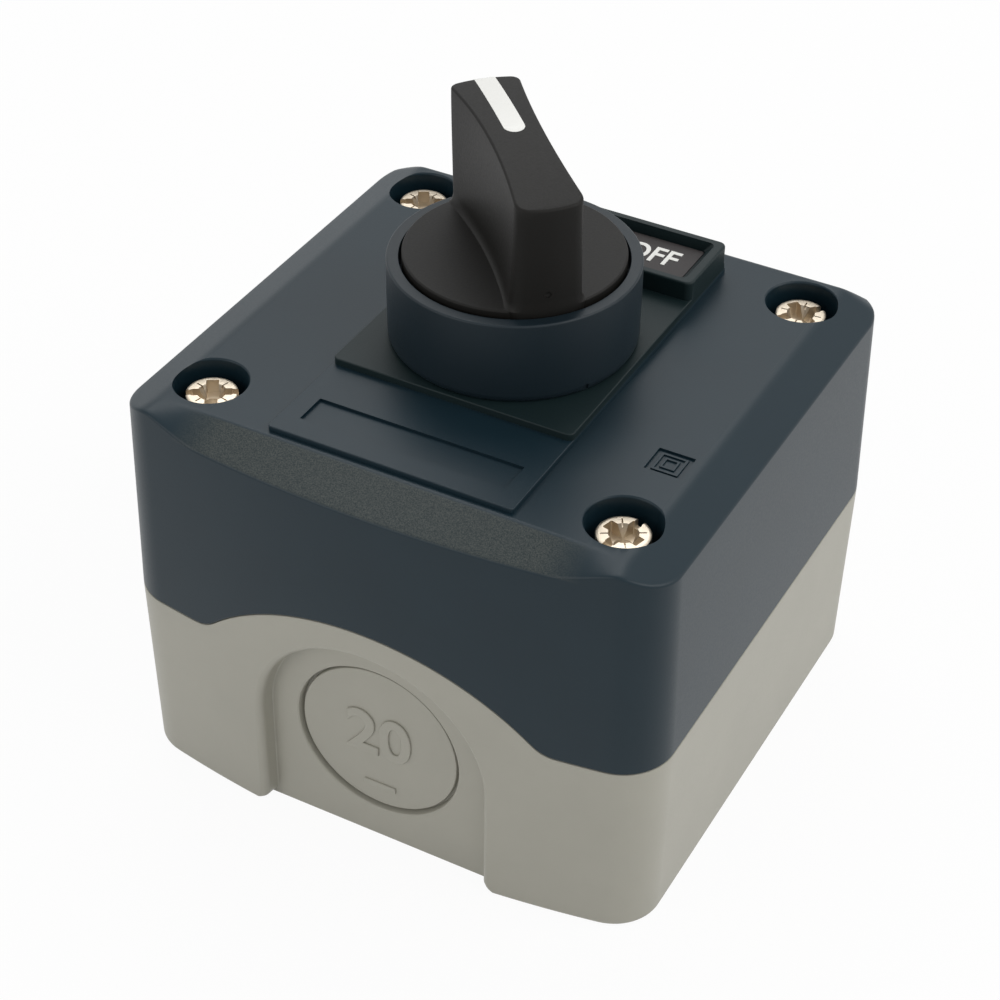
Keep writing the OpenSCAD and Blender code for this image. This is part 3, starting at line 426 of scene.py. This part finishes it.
def mirrored(part):
    """All four quarters of an outline from one."""
    right = part + [(x, -y) for x, y in reversed(part[:-1])]
    left = [(-x, -y) for x, y in part[1:]] + [(-x, y) for x, y in reversed(part[1:-1])]
    return right + left


def strips(start):
    """Closes a loop of the outline with strips that run from one end of the box to the other."""
    far = 2 * QUARTER
    right = [face_of(start, (i, i + 1, far - i - 1, far - i)) for i in range(QUARTER)]
    left = [face_of(start, (far + i, far + i + 1, COUNT - i - 1, (COUNT - i) % COUNT)) for i in range(QUARTER)]
    return right + left


def joint_z(x):
    """Height of the joint between lid and base: an arch at each end, blended into the level sides."""
    x = abs(x)
    if x < BLEND_FROM:
        return ARCH_Z + math.sqrt(ARCH_R ** 2 - x * x)
    if x < BLEND_X:
        return PARTING + ARCH_BLEND - math.sqrt(max(0.0, ARCH_BLEND ** 2 - (BLEND_X - x) ** 2))
    return PARTING


def ease(value, low, high):
    t = min(1.0, max(0.0, (value - low) / (high - low)))
    return t * t * (3 - 2 * t)


def fall(d, slope, soft=END_SOFT):
    """Drop of a facet d past its crease, with the crease softened."""
    if d <= -soft:
        return 0.0
    if d >= soft:
        return slope * d
    return slope * (d + soft) ** 2 / (4 * soft)


def lid_z(x, y):
    """Height of the lid's top: the front facet dies out before the corners, the back one is steep."""
    side = fall(abs(x) - SIDE_CREASE, SIDE_SLOPE, SIDE_SOFT)
    past = abs(y) - END_CREASE
    if y > 0:
        end = fall(past, BACK_SLOPE)
        return LID_TOP - max(side, end) - 0.5 * min(side, end)
    run = HALF_L - BOW_R + math.sqrt(BOW_R ** 2 - min(abs(x), CORNER_X) ** 2) - LEAN - END_CREASE
    end = fall(past, FRONT_DROP / run) * (1 - ease(abs(x) - 0.5 * past, *FACET_EASE))
    return LID_TOP - side - end


def lid_draft(z):
    return LEAN * max(0.0, z - PARTING) / (LID_TOP - PARTING)


def base_draft(z):
    return LEAN * max(0.0, PARTING - z) / PARTING


def base_reach(x, z):
    """Factor by which the base's ends stand out at x, since they lean in less than its sides do."""
    stretch = (HALF_L - 0.1 * base_draft(z)) / (HALF_L - base_draft(z))
    return 1 + (stretch - 1) * max(0.0, 1 - (x / 30) ** 2)


def base_level(inset, z):
    return [(x, y * base_reach(x, z)) for x, y in mirrored(quarter(base_draft(z) + inset))]


def crease_points():
    """Where the flat top ends, for each point of the outline."""
    points = []
    flat_x, flat_y = SIDE_CREASE - SIDE_SOFT, END_CREASE - END_SOFT
    edge = quarter(1.0)
    for i, (x, y) in enumerate(edge):
        if i <= BOW_STEPS:
            points.append((x * (flat_x - 0.4) / edge[BOW_STEPS][0], flat_y))
        elif i <= BOW_STEPS + CORNER_STEPS:
            t = (i - BOW_STEPS) / CORNER_STEPS
            points.append((flat_x - 0.4 * (1 - t) ** 2, flat_y + (CORNER_Y - flat_y) * t ** 1.5))
        else:
            points.append((flat_x, y))
    return mirrored(points)


def corners():
    return [(sx * SCREW_X, sy * SCREW_Y) for sx in (-1, 1) for sy in (-1, 1)]


def cavity(z0, z1, column_r):
    """The hollow of the box, with a column left standing in each corner."""
    loop = [(x, max(-INNER_END, min(INNER_END, y))) for x, y in mirrored(quarter(WALL_T))]
    room = loft("room", [[(x, y, z) for x, y in loop] for z in (z0, z1)], strips)
    posts = [moved(rod("post", column_r, z0 - 2, z1 + 2, 48), place(x, y, 0)) for x, y in corners()]
    return combine(room, join("posts", posts))


def head_hole(z0, z1, notch_z0, notch_z1):
    """The 22 mm hole with its key notch, through the lid or the legend holder."""
    hole = rod("hole", HOLE_R, z0, z1, 96)
    notch = slab("notch", -KEY_HALF, KEY_HALF, 5, KEY_END, notch_z0, notch_z1, 0.1, 0.02)
    return combine(hole, notch, "UNION")


# ---------------------------------------------------------------- lid
def lid_shell():
    edge_r = 0.3
    loops = []

    def level(inset, height):
        loops.append([(x, y, height(x, y)) for x, y in mirrored(quarter(inset))])

    level(LIP, lambda x, y: joint_z(x) + JOINT_GAP)
    level(LIP * 0.3, lambda x, y: joint_z(x) + JOINT_GAP + LIP * 0.3)
    level(0.0, lambda x, y: joint_z(x) + JOINT_GAP + LIP)
    for t in (0.3, 0.6, 0.85):
        level(lid_draft(PARTING + 27 * t), lambda x, y: joint_z(x) + t * (lid_z(x, y) - edge_r - joint_z(x)))
    for k in range(5):
        a = math.radians(22.5 * k)
        level(lid_draft(LID_TOP) + edge_r * (1 - math.cos(a)),
              lambda x, y: lid_z(x, y) - edge_r * (1 - math.sin(a)))
    rim, flat = loops[-1], crease_points()
    for t in (0.12, 0.25, 0.4, 0.55, 0.67, 0.75, 0.81, 0.86, 0.9, 0.94, 0.97, 1.0):
        loop = []
        for (x0, y0, _), (x1, y1) in zip(rim, flat):
            x, y = x0 + (x1 - x0) * t, y0 + (y1 - y0) * t
            loop.append((x, y, lid_z(x, y) if t < 1 else LID_TOP))
        loops.append(loop)
    return loft("lid", loops, strips)


def counterbore():
    """Screw hole and counterbore, with the counterbore's rim rounded."""
    profile = [(0, 15), (2.3, 15), (2.3, 46.2), (4.22, 46.2)]
    rim = ((4.22, -0.3), (4.27, -0.16), (4.38, -0.03), (4.48, 0.01), (4.48, 1.7), (0, 1.7))
    return lathe("bore", profile + [(r, LID_TOP + z) for r, z in rim], 72)


def sign_rings():
    """The two squares of the double-insulation sign, raised from its sunk field."""
    rings = []
    for width, line in ((3.15, 0.3), (1.75, 0.26)):
        half = width / 2
        ring = square("ring", SIGN_X, SIGN_Y, half, half, LID_TOP - 0.6, LID_TOP - 0.1, 0.05, 0.04)
        half -= line
        rings.append(combine(ring, square("in", SIGN_X, SIGN_Y, half, half, 50, 52, 0.03, 0.01)))
    return join("rings", rings)


def make_lid():
    lid = lid_shell()
    combine(lid, cavity(10.0, LID_UNDER, 5.6))
    combine(lid, join("cuts", [moved(counterbore(), place(x, y + SCREW_SHIFT, 0)) for x, y in corners()]))
    pad = slab("pad", -PLATE_HALF, PLATE_HALF, PAD_FRONT, PLATE_BACK, 49.5, PLATE_Z, 0.35, 0.12)
    combine(lid, pad, "UNION")
    label = slab("label", -12.65, 12.65, -25.2, -21.0, PLATE_Z - 0.35, PLATE_Z + 0.6, 0.12, 0.02)
    combine(lid, join("cuts", [label, head_hole(40, 55, 40, 55)]))
    combine(lid, square("sunk", SIGN_X, SIGN_Y, 2.15, 2.0, LID_TOP - 0.28, 52, 0.06, 0.02))
    combine(lid, sign_rings(), "UNION")
    return shade(lid, 30)


# ---------------------------------------------------------------- base
def recess_cutter():
    """Arched recess of a cable entry, its edge rounded where it meets the bowed wall (at the -Y end)."""
    edge, foot, lean, side_steps, arch_steps = 0.9, 1.6, 0.3, 8, 48
    left = [(-RECESS_R - foot, -2.0)]
    for i in range(7):
        a = math.radians(15 * i)
        left.append((-RECESS_R - foot + foot * math.sin(a), foot - foot * math.cos(a)))
    for i in range(1, side_steps + 1):
        left.append((-RECESS_R, foot + (RECESS_Z - foot) * i / side_steps))
    arch = []
    for i in range(1, arch_steps + 1):
        a = math.radians(180 - 180 * i / arch_steps)
        arch.append((RECESS_R * math.cos(a), RECESS_Z + RECESS_R * math.sin(a)))
    outline = left + arch + [(-x, z) for x, z in reversed(left)]

    def pushed(x, z, grow):
        """The outline's point moved outwards by grow."""
        if z > RECESS_Z:
            length = math.hypot(x, z - RECESS_Z)
            return x + x / length * grow, z + (z - RECESS_Z) / length * grow
        return x + math.copysign(1.0, x) * grow, z

    def wall(x, z):
        r = BOW_R - base_draft(z)
        return (HALF_L - BOW_R + math.sqrt(r * r - x * x)) * base_reach(x, z)

    loops = []
    for grow, depth in ((-lean, 0.0), (0.1 - lean, 0.1), (0.0, 1.0)):
        loops.append([(px, -RECESS_Y - depth, pz) for px, pz in (pushed(x, z, grow) for x, z in outline)])
    for k in range(6):
        a = math.radians(18 * k)
        loop = []
        for x, z in outline:
            px, pz = pushed(x, z, edge * (1 - math.cos(a)))
            loop.append((px, -(wall(px, pz) - edge * (1 - math.sin(a))), pz))
        loops.append(loop)
    loops.append([(x, y - 2.0, z) for x, y, z in loops[-1]])
    return moved(loft("recess", loops), place(RECESS_SHIFT, 0, 0))


def on_recess(depth):
    """Stands a piece made in the XY plane up on the recess's floor, depth below it (at the -Y end)."""
    at_centre = Matrix.Translation((0, -(RECESS_Y - depth) * MM, ENTRY_Z * MM))
    return at_centre @ Matrix.Rotation(math.pi / 2, 4, "X")


def knockout_cutter():
    """Sunk disc with a groove round it, as (radius, height over the recess's floor)."""
    disc = lathe("disc", [(0, -ENTRY_SUNK), (9.9, -ENTRY_SUNK), (10.05, -0.45), (10.13, -0.6), (10.16, -1.1),
                          (10.46, -1.1), (10.52, -0.3), (10.6, -0.1), (10.8, 0.02), (10.8, 1), (0, 1)], 128)
    return moved(disc, on_recess(0))


def make_base():
    edge_r = 0.4
    loops = []
    for k in (3, 2, 1, 0):
        a = math.radians(30 * k)
        z = edge_r * (1 - math.sin(a))
        loops.append([(x, y, z) for x, y in base_level(edge_r * (1 - math.cos(a)), z)])
    for t in (0.35, 0.7, 0.93):
        loops.append([(x, y, edge_r + t * (joint_z(x) - edge_r - LIP))
                      for x, y in base_level(0.0, edge_r + t * (PARTING - edge_r))])
    for inset, drop in ((0.0, LIP), (LIP * 0.3, LIP * 0.3), (LIP, 0.0)):
        loops.append([(x, y, joint_z(x) - drop - JOINT_SINK) for x, y in mirrored(quarter(inset))])
    base = loft("base", loops, strips)
    combine(base, cavity(FLOOR_T, 60, 4.6))
    combine(base, join("recesses", at_both_ends(recess_cutter)))
    combine(base, join("knockouts", at_both_ends(knockout_cutter)))
    holes = [moved(rod("bore", FIXING_R, -1, 4, 40), place(0, y, 0)) for y in (-FIXING_Y, FIXING_Y)]
    holes += [moved(rod("bore", 3.0, 16.1, 30, 40), place(x, y, 0)) for x, y in corners()]
    combine(base, join("holes", holes))
    return shade(base, 30)


def make_marks():
    """Size number and ejector bar raised on each knockout."""
    parts = []
    for turn in (0, 180):
        number = moved(words("20", 8.6, 0.24, 0.08, 0.13), Matrix.Translation((0, 0.3 * MM, 0)))
        bar = slab("bar", -2.1, 2.1, -7.7, -6.8, -0.2, 0.2, 0.2, 0.1)
        for part in (number, bar):
            parts.append(moved(part, place(0, 0, 0, turn) @ on_recess(ENTRY_SUNK)))
    return shade(join("entry_marks", parts), 40)


dress(make_lid(), FIXED, "slate_plastic", replaced=["enclosure_lid"])
dress(make_base(), FIXED, "grey_plastic", replaced=["enclosure_base"])
dress(make_marks(), FIXED, "grey_plastic")


# ---------------------------------------------------------------- screws
def make_screws():
    """Pan heads with a slot and a cross sunk round a centre cone, and four ticks between the arms."""
    shank = [(0, 18.7), (1.6, 18.7), (2.0, 19.2), (2.0, 46.9)]
    head = [(2.7, 46.9), (2.9, 47.0), (2.97, 47.15), (2.97, 49.5), (2.94, 49.62), (2.84, 49.7), (2.6, 49.73),
            (0, 49.75)]
    centre = [(0, 0), (0.7, 0.1), (1.75, 2.8), (1.75, 3.2), (0, 3.2)]
    parts = []
    for (x, y), turn in zip(corners(), SCREW_TURNS):
        cutter = moved(slab("slot", -4, 4, -0.5, 0.5, 0, 2, 0.1, 0.02), place(0, 0, 48.75))
        others = [moved(slab("arm", -2.3, 2.3, -0.72, 0.72, 0, 2, 0.15, 0.02), place(0, 0, 48.1, 90)),
                  moved(slab("arm", -2.3, 2.3, -0.62, 0.62, 0, 2, 0.15, 0.02), place(0, 0, 48.1)),
                  moved(lathe("centre", centre, 24), place(0, 0, 47.2))]
        for k in range(4):
            tick = slab("tick", 0.9, 2.45, -0.09, 0.09, 0, 1, 0.03, 0.01)
            others.append(moved(tick, place(0, 0, 49.3, 45 + 90 * k)))
        for other in others:
            combine(cutter, other, "UNION")
        screw = combine(lathe("screw", shank + head, 72), cutter)
        parts.append(moved(screw, place(x, y + SCREW_SHIFT, 0, turn)))
    return shade(join("screws", parts), 35)


dress(make_screws(), FIXED, "screw_steel", replaced=["lid_screws"])


# ---------------------------------------------------------------- legend
def make_holder():
    plate = slab("holder", -PLATE_HALF, PLATE_HALF, PLATE_FRONT, PLATE_BACK, PLATE_Z, PLATE_TOP, 0.7, 0.14)
    border = slab("frame", -PLATE_HALF, PLATE_HALF, FRAME_FRONT, PLATE_BACK, PLATE_Z, FRAME_TOP, 0.9, 0.28)
    combine(plate, border, "UNION")
    low = rounded_rect(-12.9, 12.9, 16.35, 23.9, 0.5)
    top = rounded_rect(-13.9, 13.9, 15.85, 24.35, 0.8)
    levels = ((low, PLATE_TOP), (low, 54.15), (top, 55.12), (top, 57))
    combine(plate, loft("well", [[(x, y, z) for x, y in loop] for loop, z in levels]))
    combine(plate, head_hole(45, 55, 45, 54))
    return shade(plate, 35)


def make_legend():
    return shade(slab("legend_strip", -12.8, 12.8, 16.45, 23.8, PLATE_TOP, 54.1, 0.4, 0.05))


def make_words():
    parts = []
    for text, x in (("ON", -7.6), ("OFF", 7.5)):
        word = words(text, 4.6, 0.08, 0.07)
        for v in word.data.vertices:
            v.co.x *= 0.84
        parts.append(moved(word, place(x, 20.2, 54.12)))
    return shade(join("legend_words", parts))


dress(make_holder(), FIXED, "legend_plastic", replaced=["legend_holder"])
dress(make_legend(), FIXED, "legend_card", replaced=["legend_insert"])
dress(make_words(), FIXED, "pointer_plastic")


# ---------------------------------------------------------------- head
def make_bezel():
    rim_r, bore_r = 0.25, 0.1
    profile = [(11.0, NECK_END), (11.0, PLATE_TOP), (13.85, PLATE_TOP)]
    profile += arc(13.85, 53.25, 0.3, -60, 0, 3)
    profile += [(14.22, 53.45), (14.26, 53.7), (BEZEL_R, 58)]
    profile += arc(BEZEL_R - rim_r, BEZEL_TOP - rim_r, rim_r, 0, 90, 5)
    profile += arc(BEZEL_BORE + bore_r, BEZEL_TOP - bore_r, bore_r, 90, 180, 4)
    profile += [(BEZEL_BORE, BEZEL_FLOOR), (9.0, BEZEL_FLOOR), (9.0, PLATE_TOP), (10.15, PLATE_TOP)]
    profile += [(10.15, LID_UNDER), (9.8, LID_UNDER), (9.8, NECK_END)]
    bezel = lathe("bezel", profile, 160, ring=True)
    combine(bezel, slab("key", -1.5, 1.5, 10.6, 12.4, 49.5, 53.3, 0.15, 0.05), "UNION")
    notch = slab("notch", -0.35, 0.35, -15.2, -13.9, 52.0, 53.75, 0.1, 0.05)
    combine(bezel, moved(notch, place(0, 0, 0, 62)))
    return shade(bezel, 35)


# ---------------------------------------------------------------- knob
def lever_top(x):
    return LEVER_CROWN - (x - CROWN_X) ** 2 / (2 * CROWN_R)


def half_width(x, h):
    """Half the lever's thickness at x along it and height share h."""
    foot = 3.0 - 0.0146 * x + 0.0074 * x * x
    top = 3.15 + 0.008 * x + 0.68 * (x / 11) ** 2
    return foot + (top - foot) * ease(h, -0.15, 0.95)


def half_outline(h, inset, grow):
    """One side of the lever's outline, from the middle of the pointer end to the middle of the nose."""
    tip_steps, bend_steps, side_steps = 4, 8, 24
    radius = LEVER_FOOT_R + (LEVER_R - LEVER_FOOT_R) * h - inset
    tips = []
    for end, cut in ((1, 0.95), (-1, 1.4)):
        cut -= inset * 0.6
        w = half_width(end * LEVER_END, h) - inset + grow
        corner = (end * math.sqrt(radius ** 2 - w ** 2), w)
        before_corner = math.asin(w / radius) - cut / radius
        tip = []
        for i in range(tip_steps + 1):
            a = before_corner * i / tip_steps
            tip.append((end * radius * math.cos(a), radius * math.sin(a)))
        before = tip[-1]
        x_side = corner[0] - end * cut
        after = (x_side, half_width(x_side, h) - inset + grow)
        for i in range(1, bend_steps + 1):
            t = i / bend_steps
            tip.append(tuple((1 - t) ** 2 * p + 2 * t * (1 - t) * q + t * t * r
                             for p, q, r in zip(before, corner, after)))
        tips.append(tip)
    start, stop = tips[0][-1][0], tips[1][-1][0]
    side = [start + (stop - start) * i / side_steps for i in range(1, side_steps)]
    return tips[0] + [(x, half_width(x, h) - inset + grow) for x in side] + tips[1][::-1]


def lever_loop(h, inset, height, grow=0.0):
    loop = [(x, y, height(x)) for x, y in half_outline(h, inset, grow)]
    return loop + [(x, -y, z) for x, y, z in reversed(loop[1:-1])]


def make_lever():
    loops = [lever_loop(0.0, 0.0, lambda x: DISC_UNDER + 0.2)]
    for k in range(6):
        a = math.radians(18 * k)
        rise = LEVER_FILLET * (1 - math.cos(a))
        grow = LEVER_FILLET * 0.5 * (1 - math.sin(a))
        loops.append(lever_loop(0.0, 0.0, lambda x: DISC_TOP - 0.04 + rise, grow))
    for t in (0.2, 0.32, 0.45, 0.58, 0.7, 0.82, 0.92):
        loops.append(lever_loop(t, 0.0, lambda x: DISC_TOP + t * (lever_top(x) - DISC_TOP)))
    for k in range(1, 7):
        a = math.radians(15 * k)
        inset = LEVER_EDGE * (1 - math.cos(a))
        loops.append(lever_loop(1.0, inset, lambda x: lever_top(x) - LEVER_EDGE * (1 - math.sin(a))))
    return loft("lever", loops, across(len(loops[0])))


def make_knob():
    rim_r = 0.25
    rim = arc(DISC_R - rim_r, DISC_TOP - rim_r, rim_r, 0, 90, 4)
    disc = lathe("disc", [(0, DISC_UNDER), (DISC_R, DISC_UNDER)] + rim + [(0, DISC_TOP)], 160)
    lever = make_lever()
    on_nose = Matrix.Translation((-(LEVER_FOOT_R + 0.05) * MM, 0.3 * MM, 65.6 * MM))
    dimple = lathe("dimple", [(0, -0.4), (0.32, -0.25), (0.42, 0.0), (0.42, 1), (0, 1)], 24)
    combine(lever, moved(dimple, on_nose @ Matrix.Rotation(-math.pi / 2, 4, "Y")))
    combine(disc, lever, "UNION")
    combine(disc, slab("socket", -6.05, 6.05, -1.75, 1.75, 59, 67.2, 0.05, 0.01))
    moved(disc, place(0, 0, 0, REST_TURN))
    disc.name = "selector_knob"
    return shade(disc, 35)


def make_pointer():
    """White strip let into the lever's top, round at its inner end and flush with the lever at its outer one."""
    half, start, straight, aside = 1.2, 0.5, 12.6, -0.2
    reach = LEVER_R - 0.04
    centre = start + half
    side = [(centre - half * math.cos(math.radians(a)), half * math.sin(math.radians(a)))
            for a in range(0, 91, 10)]
    side += [(centre + (straight - start - half) * i / 14, half) for i in range(1, 15)]
    side += [(12.75, half), (12.86, half), (math.sqrt(reach ** 2 - half ** 2), half)]
    side += [(math.sqrt(reach ** 2 - (half * k / 4) ** 2), half * k / 4) for k in (3, 2, 1, 0)]
    outline = side + [(x, -y) for x, y in reversed(side[1:-1])]

    def row(inset, lift):
        loop = []
        for x, y in outline:
            over = max(0.0, x - LEVER_R + LEVER_EDGE)
            drop = LEVER_EDGE - math.sqrt(LEVER_EDGE ** 2 - over ** 2)
            loop.append((x - inset * (x > 12.9), y * (1 - inset / half) + aside, lever_top(x) + lift - drop))
        return loop

    strip = loft("pointer_strip", [row(0, -0.9), row(0, 0.01), row(0.04, 0.03)], across(len(outline)))
    moved(strip, place(0, 0, 0, REST_TURN))
    return shade(strip, 35)


dress(make_bezel(), FIXED, "bezel_plastic", replaced=["head_bezel"])
dress(make_knob(), TURNING, "knob_plastic", replaced=["knob"])
dress(make_pointer(), TURNING, "pointer_plastic", replaced=["pointer_inlay"])

# ---------------------------------------------------------------- pieces kept from the solids
slot_of = {s["node"]: s["material_slot"] for s in frame["record"]["subparts"]}
for name, obj in frame["nodes"].items():
    look = LOOKS[slot_of[name]]
    if not obj.material_slots:
        obj.data.materials.append(look)
    for slot in obj.material_slots:
        slot.material = look


# ---------------------------------------------------------------- floor and world
def seen_directly(tree):
    """1 for the camera's rays and for those off metal or through glass, which meet a plain white background."""
    path = node(tree, "ShaderNodeLightPath")
    most = path.outputs["Is Camera Ray"]
    for kind in ("Is Glossy Ray", "Is Transmission Ray"):
        either = node(tree, "ShaderNodeMath", operation="MAXIMUM")
        tree.links.new(most, either.inputs[0])
        tree.links.new(path.outputs[kind], either.inputs[1])
        most = either.outputs[0]
    return most


def blended(tree, share, usual, direct, out_kind):
    """Ends a tree in the mix of two shaders, with share giving the part of the second."""
    mix = node(tree, "ShaderNodeMixShader")
    tree.links.new(share, mix.inputs["Fac"])
    tree.links.new(usual.outputs[0], mix.inputs[1])
    tree.links.new(direct.outputs[0], mix.inputs[2])
    tree.links.new(mix.outputs[0], node(tree, out_kind).inputs["Surface"])


REACH, UNDER = 3000, -0.05
floor = new_object("floor", [(-REACH, -REACH, UNDER), (REACH, -REACH, UNDER), (REACH, REACH, UNDER),
                             (-REACH, REACH, UNDER)], [(0, 1, 2, 3)])
pale = bpy.data.materials.new("floor_pale")
pale.use_nodes = True
tree = pale.node_tree
tree.nodes.clear()
cloth = node(tree, "ShaderNodeBsdfDiffuse", Color=(0.88, 0.88, 0.88, 1))
white = node(tree, "ShaderNodeEmission", Color=(1, 1, 1, 1), Strength=1.0)
share = node(tree, "ShaderNodeMath", operation="MULTIPLY")
share.inputs[1].default_value = 0.94
tree.links.new(seen_directly(tree), share.inputs[0])
blended(tree, share.outputs[0], cloth, white, "ShaderNodeOutputMaterial")
floor.data.materials.append(pale)

world = bpy.data.worlds.new("studio")
bpy.context.scene.world = world
world.use_nodes = True
tree = world.node_tree
tree.nodes.clear()
room = node(tree, "ShaderNodeBackground", Color=(1, 1, 1, 1), Strength=0.5)
backdrop = node(tree, "ShaderNodeBackground", Color=(1, 1, 1, 1), Strength=1.0)
blended(tree, seen_directly(tree), room, backdrop, "ShaderNodeOutputWorld")


# ---------------------------------------------------------------- lamps and camera
def lamp(name, position, target, size, power, colour):
    data = bpy.data.lights.new(name, "AREA")
    data.shape = "RECTANGLE"
    data.size, data.size_y = size
    data.energy = power
    data.color = colour
    obj = linked(name, data)
    obj.location = position
    obj.rotation_euler = (Vector(target) - Vector(position)).to_track_quat("-Z", "Y").to_euler()


lamp("key", (0.55, 0.10, 0.50), (0, 0, 0.03), (0.5, 0.5), 2.1, (1.0, 0.99, 0.97))
lamp("top", (-0.25, 0.45, 0.75), (0, 0, 0.04), (0.6, 0.4), 2.2, (0.98, 0.99, 1.0))
lamp("front", (-0.35, -0.70, 0.30), (0, 0, 0.03), (0.5, 0.4), 1.0, (1.0, 0.99, 0.97))

# The camera as solved from the photograph, in metres and in pixels of a picture 1000 wide
EYE = 0.1035581, -0.1964916, 0.2029009
RIGHT = Vector((0.8810106305, 0.4728628542, 0.0148657351))
DOWN = Vector((0.3012525367, -0.5364937938, -0.7883028087))
AHEAD = Vector((-0.3647837415, 0.6989814950, -0.6151078699))
PICTURE, FOCAL, CENTRE_X, CENTRE_Y = 1000, 2361.255, 518.541, 491.232
SENSOR = 36.0
camera_data = bpy.data.cameras.new("camera")
camera = linked("camera", camera_data)
facing = Matrix((RIGHT, -DOWN, -AHEAD)).transposed().to_4x4()
camera.matrix_world = Matrix.Translation(EYE) @ facing
camera_data.sensor_fit = "HORIZONTAL"
camera_data.sensor_width = SENSOR
camera_data.lens = FOCAL / PICTURE * SENSOR
camera_data.shift_x = (PICTURE / 2 - CENTRE_X) / PICTURE
camera_data.shift_y = (CENTRE_Y - PICTURE / 2) / PICTURE
camera_data.clip_start = 0.01
bpy.context.scene.camera = camera
bpy.context.scene.view_settings.view_transform = "Standard"
